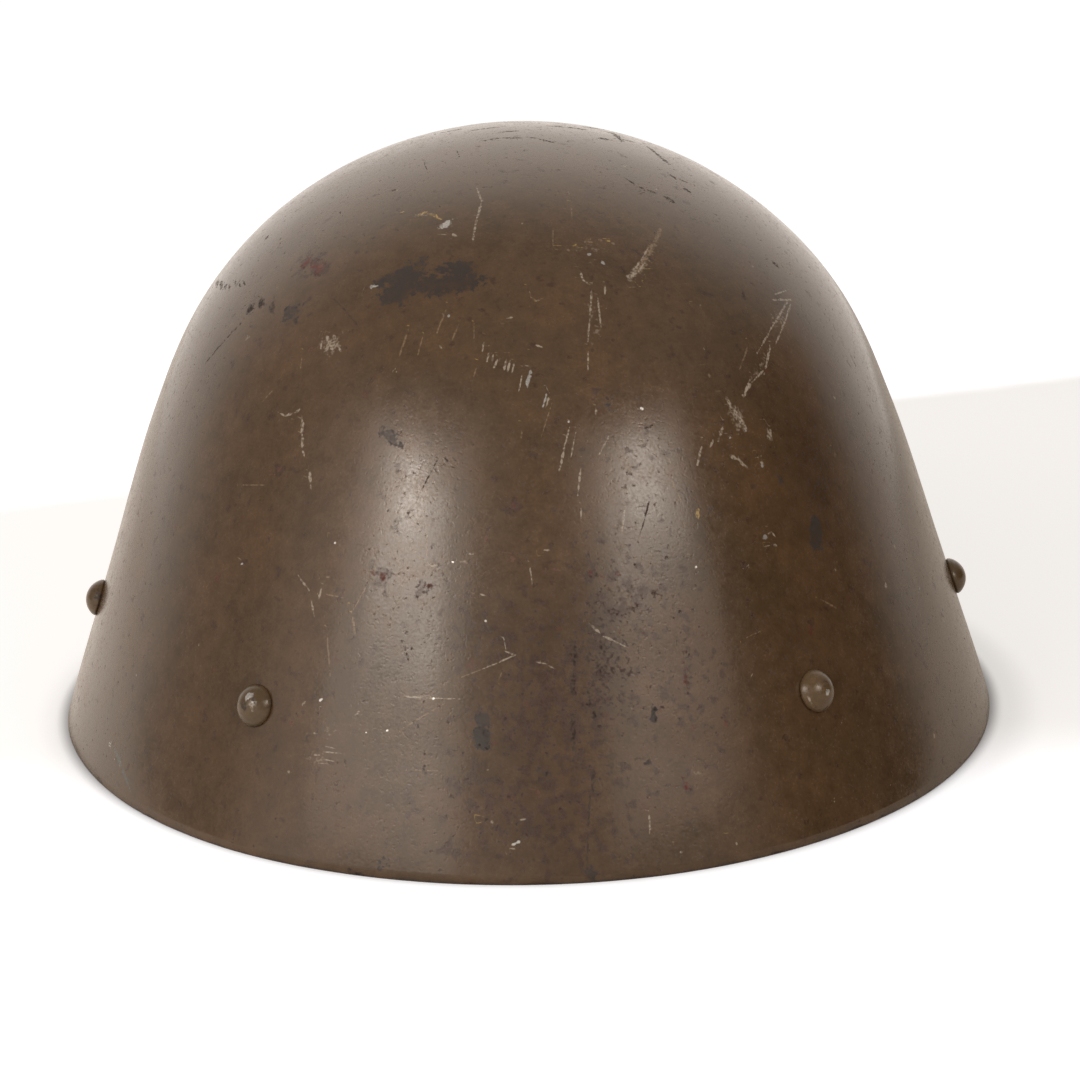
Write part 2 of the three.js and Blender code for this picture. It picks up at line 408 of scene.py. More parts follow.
# Where each mark starts and ends and how wide it is, in picture pixels
MARKS: dict[Tone, Rows] = {
    Tone.TAN: (
        (408, 331, 400, 354, 1.6), (423, 336, 418, 354, 1.2), (446, 310, 436, 335, 1.6), (458, 326, 451, 343, 1.4),
        (477, 366, 474, 375, 1.6), (302, 357, 300, 371, 1.2), (278, 385, 263, 401, 1.1), (551, 406, 542, 435, 1.3),
        (366, 587, 352, 612, 1.3), (352, 613, 355, 634, 1.7), (522, 430, 521, 438, 1.6), (327, 635, 330, 672, 1.5),
        (353, 619, 354, 634, 1.8), (529, 290, 531, 297, 1.2), (531, 297, 536, 301, 1.3), (536, 301, 544, 298, 1.3),
        (242, 485, 264, 485, 1.1), (820, 599, 838, 609, 1.2), (746, 638, 763, 630, 1.3), (669, 473, 676, 490, 1.2),
        (676, 490, 685, 509, 1.2), (426, 515, 427, 560, 1.0), (325, 594, 339, 597, 1.5), (326, 577, 331, 577, 1.4),
        (748, 346, 740, 368, 1.5), (474, 326, 474, 340, 1.0), (553, 228, 553, 245, 1.0), (571, 206, 572, 218, 1.3),
        (584, 242, 590, 241, 2.2), (598, 239, 603, 241, 2.2), (612, 242, 614, 245, 2.2), (567, 249, 569, 251, 2.2),
        (634, 276, 648, 256, 7.5), (643, 262, 655, 241, 6.0), (652, 247, 662, 227, 3.6), (405, 727, 440, 706, 1.4),
        (480, 670, 462, 677, 1.1), (499, 679, 502, 672, 1.1), (415, 770, 440, 771, 1.0), (700, 305, 701, 306, 2.0),
        (709, 374, 709, 377, 2.2), (835, 453, 835, 456, 2.2),
    ),
    Tone.PALE: (
        (477, 188, 482, 203, 1.8), (482, 202, 477, 218, 2.2), (477, 217, 473, 239, 2.2), (278, 412, 285, 416, 1.9),
        (285, 416, 295, 412, 1.6), (294, 413, 299, 410, 1.9), (302, 420, 302, 436, 2.7), (302, 434, 303, 451, 2.6),
        (303, 450, 304, 456, 1.8), (310, 472, 310, 485, 2.6), (310, 484, 312, 490, 1.8), (300, 578, 309, 590, 1.8),
        (311, 599, 314, 615, 1.5), (322, 588, 318, 600, 2.2), (592, 289, 590, 316, 2.0), (590, 315, 588, 340, 1.6),
        (588, 350, 588, 369, 1.8), (598, 300, 601, 328, 1.5), (605, 286, 605, 293, 1.8), (581, 272, 583, 281, 2.3),
        (583, 280, 589, 284, 1.6), (484, 342, 482, 352, 1.6), (596, 408, 596, 415, 2.0), (569, 429, 565, 446, 1.5),
        (565, 445, 560, 469, 2.3), (575, 436, 570, 463, 1.4), (581, 466, 578, 493, 1.6), (581, 507, 581, 523, 1.4),
        (608, 438, 600, 453, 1.6), (625, 508, 622, 532, 1.8), (401, 696, 428, 698, 1.7), (428, 698, 461, 699, 1.1),
        (591, 625, 603, 636, 1.6), (603, 636, 621, 644, 1.9), (620, 644, 629, 648, 1.3), (649, 814, 650, 832, 2.1),
        (427, 562, 431, 566, 1.5), (431, 566, 437, 565, 1.8), (544, 550, 550, 550, 1.9), (467, 554, 473, 554, 1.4),
        (480, 594, 487, 596, 1.8), (530, 567, 532, 582, 1.4), (787, 302, 772, 327, 1.9), (772, 327, 758, 352, 1.6),
        (791, 303, 776, 343, 1.6), (774, 300, 791, 300, 1.3), (776, 294, 788, 290, 1.2), (770, 347, 765, 370, 2.0),
        (765, 369, 752, 382, 1.7), (752, 382, 744, 393, 2.6), (750, 380, 744, 396, 2.0), (727, 398, 731, 407, 4.2),
        (733, 406, 739, 418, 4.0), (738, 414, 743, 425, 4.2), (743, 424, 747, 432, 3.2), (723, 424, 719, 439, 3.0),
        (713, 440, 710, 448, 1.8), (702, 445, 697, 465, 1.8), (730, 456, 739, 460, 2.6), (738, 459, 748, 469, 2.2),
        (761, 458, 762, 468, 3.6), (769, 429, 770, 440, 4.4), (886, 581, 886, 589, 2.0), (536, 345, 542, 347, 1.7),
        (629, 279, 636, 271, 6.0), (632, 272, 640, 262, 2.0), (637, 274, 645, 262, 1.6), (640, 262, 647, 250, 1.4),
        (504, 640, 506, 650, 1.3), (505, 651, 515, 655, 1.6), (515, 655, 500, 662, 1.4), (500, 662, 480, 670, 1.1),
        (536, 662, 546, 664, 1.3), (546, 664, 555, 669, 1.4), (312, 755, 319, 755, 1.3), (322, 759, 332, 761, 1.3),
        (325, 752, 338, 753, 1.0), (318, 763, 330, 764, 1.1), (324, 746, 333, 748, 1.0), (489, 353, 487, 361, 1.9),
        (493, 355, 492, 363, 1.9), (497, 360, 494, 367, 2.0), (506, 361, 504, 370, 1.8), (510, 361, 508, 370, 1.8),
        (514, 364, 512, 372, 1.6), (522, 375, 519, 391, 1.6), (549, 397, 546, 407, 1.9), (327, 337, 329, 343, 2.6),
        (333, 335, 335, 339, 2.2), (322, 340, 321, 348, 1.9), (330, 345, 333, 350, 2.2), (338, 346, 341, 352, 1.6),
        (767, 534, 772, 532, 1.7), (772, 532, 776, 538, 1.5), (773, 544, 777, 547, 2.4), (439, 345, 442, 349, 1.8),
        (522, 359, 525, 361, 2.6), (507, 318, 513, 317, 1.6), (738, 456, 741, 464, 1.6), (491, 821, 493, 824, 3.0),
        (520, 820, 526, 819, 1.4), (354, 716, 359, 712, 2.3), (313, 733, 318, 734, 1.9), (682, 851, 682, 853, 2.6),
        (736, 842, 737, 845, 2.0), (686, 873, 690, 871, 2.2), (453, 234, 457, 236, 2.2),
    ),
    Tone.STEEL: (
        (371, 286, 379, 286, 3.2), (441, 228, 449, 221, 4.6), (448, 315, 449, 317, 2.8), (530, 372, 527, 386, 3.3),
        (588, 256, 590, 254, 2.6), (764, 539, 766, 535, 3.4), (730, 436, 731, 439, 2.8), (762, 464, 762, 468, 2.6),
        (696, 566, 696, 568, 1.7), (512, 845, 521, 841, 2.6), (365, 733, 367, 732, 1.5), (386, 731, 388, 730, 1.5),
        (320, 701, 323, 698, 2.2), (453, 561, 453, 563, 2.2), (640, 408, 643, 409, 2.4), (568, 421, 569, 423, 2.6),
        (335, 542, 335, 544, 1.9), (546, 396, 543, 406, 2.4), (242, 563, 242, 565, 2.0), (745, 429, 747, 432, 2.4),
        (485, 620, 486, 622, 2.0), (433, 698, 434, 699, 2.2), (602, 262, 605, 264, 2.6),
    ),
    Tone.OCHRE: (
        (698, 509, 697, 518, 3.6), (416, 216, 427, 212, 1.9), (428, 213, 440, 218, 2.4), (573, 246, 577, 244, 1.9),
        (606, 241, 611, 241, 1.4), (655, 262, 657, 264, 2.4), (400, 213, 405, 211, 1.4),
    ),
    Tone.DARK: (
        (576, 634, 574, 668, 4.6), (573, 668, 574, 700, 7.0), (573, 710, 574, 758, 5.6), (594, 766, 592, 793, 4.6),
        (590, 796, 588, 832, 2.4), (588, 832, 587, 868, 2.4), (600, 640, 606, 654, 5.0), (598, 662, 603, 676, 6.0),
        (594, 712, 596, 722, 4.6), (612, 668, 616, 676, 4.0), (588, 690, 590, 706, 3.0), (536, 772, 541, 768, 4.0),
        (332, 297, 345, 310, 1.3), (345, 310, 357, 325, 1.7), (239, 325, 228, 337, 1.5), (228, 337, 208, 360, 1.0),
        (265, 239, 269, 236, 1.4), (645, 428, 650, 427, 1.7), (649, 427, 655, 424, 2.0), (649, 501, 645, 518, 1.6),
        (645, 518, 639, 538, 1.1), (436, 463, 422, 489, 1.4), (444, 457, 449, 463, 1.8), (451, 456, 457, 462, 1.6),
        (450, 466, 455, 468, 1.6), (370, 577, 366, 586, 1.6), (406, 652, 409, 662, 2.2), (411, 647, 412, 650, 3.2),
        (423, 701, 425, 702, 2.8), (423, 753, 425, 755, 2.6), (742, 288, 745, 301, 2.0), (636, 186, 646, 190, 2.2),
        (646, 190, 656, 193, 2.0), (665, 197, 674, 203, 2.8), (684, 189, 691, 193, 1.7), (771, 260, 779, 268, 2.2),
        (606, 396, 608, 400, 3.6), (569, 801, 571, 804, 2.3), (545, 771, 548, 776, 4.6), (551, 368, 552, 370, 2.6),
        (369, 548, 370, 550, 2.2), (409, 578, 409, 580, 2.2), (347, 868, 356, 873, 2.8), (356, 873, 365, 875, 2.2),
        (217, 281, 218, 285, 1.1), (221, 281, 222, 287, 1.1), (225, 284, 226, 289, 1.2), (229, 285, 230, 290, 1.1),
        (235, 281, 236, 284, 1.1), (239, 283, 241, 288, 1.1), (243, 281, 245, 285, 1.2), (250, 305, 251, 313, 5.4),
        (261, 299, 262, 307, 4.0), (272, 303, 273, 312, 4.4), (294, 319, 297, 323, 3.4), (482, 141, 500, 138, 1.1),
        (500, 138, 519, 138, 1.2), (528, 137, 540, 139, 1.0), (539, 139, 555, 143, 1.2), (548, 126, 566, 127, 0.9),
        (566, 127, 586, 130, 1.4), (584, 127, 606, 130, 1.2), (598, 138, 612, 140, 1.2), (612, 133, 622, 141, 1.1),
        (620, 139, 634, 142, 1.0), (604, 131, 620, 136, 1.0), (440, 133, 462, 129, 0.9), (470, 131, 500, 127, 0.9),
        (424, 162, 427, 170, 1.1), (648, 147, 660, 157, 0.9), (660, 157, 669, 164, 1.2), (669, 174, 677, 180, 1.0),
        (684, 187, 691, 194, 1.1), (677, 178, 690, 184, 0.8), (625, 178, 640, 188, 1.0), (457, 151, 459, 156, 1.0),
        (500, 132, 520, 131, 0.8), (393, 189, 395, 191, 3.0), (340, 212, 341, 214, 2.6), (666, 556, 667, 559, 3.4),
        (668, 545, 669, 549, 2.6), (634, 563, 635, 566, 2.6), (679, 609, 681, 613, 3.2), (671, 619, 675, 617, 2.8),
        (478, 743, 480, 746, 2.6), (462, 753, 464, 755, 2.4), (686, 651, 686, 654, 2.6),
    ),
    Tone.RED: (
        (513, 503, 514, 508, 6.0), (512, 556, 513, 562, 5.0), (553, 569, 560, 570, 2.8), (588, 571, 593, 573, 5.0),
        (600, 574, 604, 578, 4.0), (616, 573, 621, 574, 3.2), (486, 535, 486, 542, 3.2), (686, 780, 687, 790, 4.6),
        (725, 720, 726, 727, 4.4), (685, 674, 685, 688, 2.8), (702, 635, 705, 637, 3.0), (653, 504, 656, 505, 2.8),
        (650, 627, 655, 629, 4.2), (618, 631, 621, 631, 3.2), (311, 348, 311, 351, 3.6), (401, 771, 403, 773, 3.2),
        (380, 574, 385, 580, 5.0), (371, 571, 375, 574, 3.8), (276, 469, 281, 470, 5.0), (400, 434, 402, 436, 3.2),
        (425, 586, 432, 586, 3.4), (686, 811, 687, 814, 3.8), (567, 553, 569, 555, 3.4), (619, 632, 621, 633, 2.8),
        (343, 786, 345, 787, 2.4), (585, 640, 588, 642, 3.4), (362, 723, 364, 726, 2.4), (291, 721, 293, 724, 5.6),
        (684, 650, 684, 653, 2.4), (683, 660, 684, 664, 2.6), (686, 667, 686, 671, 2.6), (461, 443, 462, 445, 3.0),
        (703, 636, 705, 638, 2.6), (659, 812, 664, 807, 2.8), (538, 792, 542, 798, 3.4), (758, 825, 760, 828, 3.4),
    ),
    Tone.BLUE: (
        (113, 745, 122, 768, 2.0), (122, 768, 130, 790, 1.6),
    ),
}


class Stain(Enum):
    """The kinds of soft stain, by their part of the stain attribute."""

    INK = 0
    RUST = 1
    DUST = 2
    SOOT = 3


# Middle, half size, turn in degrees and strength of each stain, in picture pixels
STAINS: dict[Stain, Rows] = {
    Stain.INK: (
        (404, 284, 24, 14, -62, 1.0), (388, 278, 18, 5, -14, 1.0), (398, 292, 18, 12, -10, 1.0),
        (427, 285, 15, 9, 0, 1.0), (453, 284, 26, 11, -6, 1.0), (461, 268, 16, 11, 6, 0.9),
        (440, 270, 10, 4, -10, 0.85), (389, 298, 8, 6, 0, 0.85), (422, 262, 5, 11, 30, 0.85),
        (292, 312, 11, 10, 0, 0.90), (250, 309, 5, 6, 0, 0.90), (261, 303, 4, 7, 0, 0.85),
        (271, 308, 4, 7, 0, 0.85), (296, 321, 3, 6, 0, 0.75), (816, 533, 6, 11, 8, 2.0), (482, 737, 6, 7, 3, 1.9),
        (483, 720, 6, 3, 3, 1.9), (654, 715, 3, 5, 20, 1.4), (391, 437, 13, 6, 42, 1.0), (781, 480, 4, 6, 0, 0.75),
        (416, 723, 4, 3, 0, 0.8), (648, 763, 5, 5, 0, 0.65), (609, 407, 7, 4, 20, 0.75), (592, 874, 7, 9, 0, 0.9),
        (381, 864, 8, 5, 0, 0.75), (424, 771, 4, 4, 0, 0.6), (840, 497, 4, 4, 0, 0.6),
    ),
    Stain.RUST: (
        (307, 262, 14, 10, -20, 0.82), (320, 268, 10, 12, -30, 0.88), (314, 265, 9, 9, 0, 0.82),
        (384, 577, 9, 10, -20, 0.80), (430, 588, 14, 5, -10, 0.75), (281, 469, 6, 5, 0, 0.8),
        (513, 505, 6, 6, 0, 0.75), (590, 572, 10, 6, 0, 0.75), (686, 786, 7, 8, 0, 0.85),
        (550, 700, 55, 80, 0, 0.56), (540, 810, 80, 50, 0, 0.54), (500, 640, 40, 34, 0, 0.42),
        (620, 600, 50, 40, 0, 0.44), (670, 690, 40, 60, 0, 0.30), (686, 680, 4, 14, 0, 0.7),
        (725, 723, 4, 5, 0, 0.8), (512, 735, 12, 14, 0, 0.62), (530, 765, 12, 10, 0, 0.62),
        (500, 800, 16, 10, 0, 0.6), (300, 720, 40, 30, 0, 0.25),
    ),
    Stain.DUST: (
        (331, 345, 14, 13, 0, 0.75), (650, 250, 22, 6, -60, 0.55), (638, 268, 14, 6, -50, 0.75),
        (778, 318, 26, 8, -62, 0.65), (760, 366, 30, 7, -60, 0.6), (738, 420, 17, 9, 60, 0.7),
        (315, 757, 22, 14, 0, 0.52), (388, 311, 7, 4, 0, 0.7), (362, 223, 11, 4, 0, 0.62),
        (331, 727, 12, 18, 0, 0.52), (446, 685, 14, 7, -30, 0.55), (627, 494, 6, 8, 0, 0.7),
        (424, 214, 17, 5, 8, 0.6), (445, 225, 10, 6, -30, 0.8), (594, 320, 12, 40, 0, 0.5),
        (590, 250, 26, 12, 0, 0.45), (500, 364, 18, 12, 25, 0.5), (462, 562, 9, 4, 0, 0.6),
        (416, 700, 16, 6, 0, 0.6), (375, 790, 30, 20, 0, 0.35), (417, 828, 12, 12, 0, 0.4),
        (690, 775, 24, 16, 0, 0.4),
    ),
    Stain.SOOT: (
        (604, 664, 22, 20, 0, 0.62), (600, 700, 22, 26, 0, 0.55), (612, 655, 14, 12, 0, 0.62),
        (600, 622, 16, 16, 0, 0.5), (427, 587, 9, 5, -20, 0.62), (546, 775, 7, 8, 0, 0.6),
        # The wide faint row at 820, 480 darkens the right of the dome.
        (535, 735, 34, 50, 0, 0.26), (820, 480, 40, 80, -12, 0.34), (520, 800, 60, 40, 0, 0.20),
        (575, 620, 40, 40, 0, 0.26), (800, 640, 40, 50, 0, 0.16),
    ),
}

LAYERS = 6
NO_MARK = 9.0  # how far off a vertex lies that no mark reaches, in half widths


@dataclass(frozen=True)
class RearWear:
    """Made-up wear for the outer face that the picture doesn't show. Metres and degrees."""

    seed: int = 23
    groups: int = 95
    most_in_group: int = 4
    stains: int = 46
    ahead_share: float = 0.42  # how crowded it is ahead of the middle, against behind it
    rim_gap: float = 0.005
    outer_reach: float = 0.02  # the least distance of an outer face's plane from the middle
    reach_growth: float = 1.6  # the mesh is coarser there, so marks are written further out
    lean: float = 40.0
    group_size: float = 0.0035
    length: float = 0.004
    least_length: float = 0.0006
    half_widths: tuple[float, float] = (0.00015, 0.00034)
    stain_sizes: tuple[float, float] = (0.0015, 0.0060)
    stain_turn: float = 60.0
    stain_strengths: tuple[float, float] = (0.5, 0.95)
    tones: tuple[Tone, ...] = (Tone.TAN, Tone.PALE, Tone.STEEL, Tone.DARK, Tone.RED)
    tone_odds: tuple[float, ...] = (0.28, 0.30, 0.10, 0.22, 0.10)
    stain_kinds: tuple[Stain, ...] = (Stain.INK, Stain.RUST, Stain.DUST, Stain.SOOT)
    stain_odds: tuple[float, ...] = (0.2, 0.45, 0.15, 0.2)


@dataclass
class MarkMap:
    """Writes marks and stains into a mesh's vertices, for the paint to show.

    Each layer holds, at each vertex near a mark, how far across and along the mark the vertex lies, as shares of
    the mark's half width and half length, then 1 for near, and the mark's tone. The stain layer holds four soft fields.
    """

    view: PictureView
    mesh: bpy.types.Mesh
    reach: float  # how far past a mark its vertices are written
    room: float = 1.9  # how far a mark keeps clear of others in its layer, in reaches
    stubby: float = 0.8  # the least half length, in half widths
    least_sag: float = 0.003  # how far off its plane a mark is still written
    sag_growth: float = 5.0
    stain_depth: float = 0.012  # how far off its plane a stain still shows
    widest: float = 2.5  # how much a slant can widen a mark
    points: np.ndarray = field(init=False)
    layers: list[np.ndarray] = field(init=False)
    taken: list[np.ndarray] = field(init=False)
    stains: np.ndarray = field(init=False)
    tree: BVHTree = field(init=False)
    dropped: int = 0

    def __post_init__(self) -> None:
        """Reads the mesh and makes the empty layers."""
        count = len(self.mesh.vertices)
        flat = np.empty(count * 3, np.float32)
        self.mesh.vertices.foreach_get("co", flat)
        self.points = flat.reshape(-1, 3).astype(float)
        self.layers = [np.tile([NO_MARK, NO_MARK, 0.0, 0.0], (count, 1)) for _ in range(LAYERS)]
        self.taken = [np.zeros(count, bool) for _ in range(LAYERS)]
        self.stains = np.zeros((count, 4))
        triangles = [tuple(polygon.vertices) for polygon in self.mesh.polygons]
        self.tree = BVHTree.FromPolygons([tuple(p) for p in self.points], triangles)

    def hit(self, x: float, y: float) -> Optional[tuple[Vector, Vector, float]]:
        """Where the picture's point lies on the mesh.

        Args:
            x: pixels from the picture's left.
            y: pixels from its top.

        Returns:
            The place, the way out of the surface, and the length of a pixel there, or None beside the mesh.
        """
        eye = self.view.eye()
        place, normal, _, distance = self.tree.ray_cast(eye, self.view.ray(x, y))
        if place is None:
            return None
        return place, normal, distance / self.view.focal

    def draw(self, start: Vector, end: Vector, normal: Vector, half_width: float, tone: Tone) -> None:
        """Writes one mark into the first layer that is free there.

        Args:
            start: one end.
            end: the other end.
            normal: the way out of the surface.
            half_width: half the mark's width.
            tone: what it shows.
        """
        middle = np.array((start + end) / 2)
        way = np.array(end - start)
        length = np.linalg.norm(way)
        half_length = max(length / 2, half_width * self.stubby)
        along = way / length if length > 1e-6 else np.array(normal.orthogonal())
        out = np.array(normal)
        along = along - out * (along @ out)
        along /= np.linalg.norm(along)
        side = np.cross(out, along)
        offset = self.points - middle
        t, s, off = offset @ along, offset @ side, offset @ out
        level = np.abs(off) < self.least_sag + half_length**2 * self.sag_growth
        near, wide = (
            level & (np.abs(t) < half_length + gap) & (np.abs(s) < half_width + gap)
            for gap in (self.reach, self.reach * self.room)
        )
        for layer, taken in zip(self.layers, self.taken):
            if not (taken & wide).any():
                layer[near, 0] = s[near] / half_width
                layer[near, 1] = t[near] / half_length
                layer[near, 2] = 1.0
                layer[near, 3] = tone.value
                taken |= near
                return
        self.dropped += 1

    def draw_picture_marks(self, marks: dict[Tone, Rows]) -> None:
        """Writes every mark of a table that falls on this mesh.

        Args:
            marks: the rows of each tone: both ends and the width, in picture pixels.
        """
        for tone, rows in marks.items():
            for x0, y0, x1, y1, width in rows:
                first, last = self.hit(x0, y0), self.hit(x1, y1)
                if first and last:
                    half_width = self._half_width((x0, y0), (x1, y1), width, first[2])
                    self.draw(first[0], last[0], (first[1] + last[1]).normalized(), half_width, tone)

    def _half_width(self, start: tuple[float, float], end: tuple[float, float], width: float, pixel: float) -> float:
        """Half a mark's width on the surface, which is more where the surface turns away.

        Args:
            start: one end in the picture.
            end: the other end.
            width: its width in the picture.
            pixel: the length of a pixel there.

        Returns:
            The half width in metres.
        """
        way = Vector((end[0] - start[0], end[1] - start[1]))
        side = Vector((-way.y, way.x)).normalized() * width / 2 if way.length > 0 else Vector((width / 2, 0))
        middle = (Vector(start) + Vector(end)) / 2
        ends = [self.hit(*(middle + side * sign)) for sign in (1, -1)]
        if not (ends[0] and ends[1]):
            return width * pixel / 2
        return min((ends[0][0] - ends[1][0]).length / 2, width * pixel * self.widest)

    def spread(self, kind: Stain, middle: Vector, normal: Vector, right: Vector, size: tuple[float, float],
               turn: float, strength: float) -> None:
        """Adds one soft stain: its field is 1 in the middle, half at its edge and 0 at twice its size.

        Args:
            kind: which field.
            middle: its middle.
            normal: the way out of the surface.
            right: the picture's right.
            size: half its width and half its height, in metres.
            turn: how far it is turned clockwise, in degrees.
            strength: how strong it is.
        """
        out = np.array(normal)
        across = np.array(right) - out * (np.array(right) @ out)
        across /= np.linalg.norm(across)
        down = np.cross(across, out)
        angle = math.radians(turn)
        first = across * math.cos(angle) + down * math.sin(angle)
        second = down * math.cos(angle) - across * math.sin(angle)
        offset = self.points - np.array(middle)
        q = (np.abs(offset @ first / size[0]) ** 3 + np.abs(offset @ second / size[1]) ** 3) ** (1 / 3)
        soft = np.clip(1 - q / 2, 0, 1) * strength * (np.abs(offset @ out) < self.stain_depth)
        self.stains[:, kind.value] = np.maximum(self.stains[:, kind.value], soft)

    def spread_picture_stains(self, stains: dict[Stain, Rows]) -> None:
        """Adds every stain of a table that falls on this mesh.

        Args:
            stains: the rows of each kind: middle, half size, turn and strength, in picture pixels and degrees.
        """
        right = self.view.axes()[0]
        for kind, rows in stains.items():
            for x, y, wide, high, turn, strength in rows:
                found = self.hit(x, y)
                if found:
                    place, normal, pixel = found
                    self.spread(kind, place, normal, right, (wide * pixel, high * pixel), turn, strength)

    def scatter(self, wear: RearWear) -> None:
        """Scatters made-up wear over the outer face that the picture doesn't show.

        Args:
            wear: how much, how large and where.
        """
        flat = np.empty(self.points.size, np.float32)
        self.mesh.vertex_normals.foreach_get("vector", flat)
        normals = flat.reshape(-1, 3).astype(float)
        to_eye = np.array(self.view.eye()) - self.points
        turned_away = (normals * to_eye).sum(1) < 0
        outside = (normals * self.points).sum(1) > wear.outer_reach
        spots = np.flatnonzero(turned_away & outside & (self.points[:, 2] > wear.rim_gap))
        x, y, _ = self.points[spots].T
        crowding = np.hypot(x, y) * np.where(y < 0, wear.ahead_share, 1.0)
        odds = crowding / crowding.sum()
        draw = np.random.default_rng(wear.seed)
        self.reach *= wear.reach_growth
        for spot in draw.choice(spots, wear.groups, p=odds):
            normal = Vector(normals[spot])
            upward = Vector((0, 0, 1)) - normal * normal.z
            way = Matrix.Rotation(math.radians(draw.normal(0, wear.lean)), 3, normal) @ upward.normalized()
            tone = draw.choice(wear.tones, p=wear.tone_odds)
            for _ in range(draw.integers(1, wear.most_in_group + 1)):
                start = Vector(self.points[spot]) + Vector(draw.normal(0, wear.group_size, 3))
                start -= normal * (start - Vector(self.points[spot])).dot(normal)
                length = draw.exponential(wear.length) + wear.least_length
                self.draw(start, start + way * length, normal, draw.uniform(*wear.half_widths), tone)
        for spot in draw.choice(spots, wear.stains, p=odds):
            kind = draw.choice(wear.stain_kinds, p=wear.stain_odds)
            size = tuple(draw.uniform(*wear.stain_sizes, 2))
            normal = Vector(normals[spot])
            right = Vector((-normal.y, normal.x, 0)).normalized()
            turn = draw.uniform(-wear.stain_turn, wear.stain_turn)
            strength = draw.uniform(*wear.stain_strengths)
            self.spread(kind, Vector(self.points[spot]), normal, right, size, turn, strength)

    def store(self) -> None:
        """Writes the layers to the mesh as attributes."""
        named = {f"marks_{index}": layer for index, layer in enumerate(self.layers)}
        named["stains"] = self.stains
        for name, values in named.items():
            attribute = self.mesh.attributes.new(name, "FLOAT_COLOR", "POINT")
            attribute.data.foreach_set("color", values.astype(np.float32).ravel())


# Finishes


@dataclass(frozen=True)
class Grains:
    """The noises that the paint's layers share, from the coarsest to the finest."""

    cloud: Value
    mottle: Value
    grain: Value
    fine: Value


Roughening = list[tuple[Value, float]]


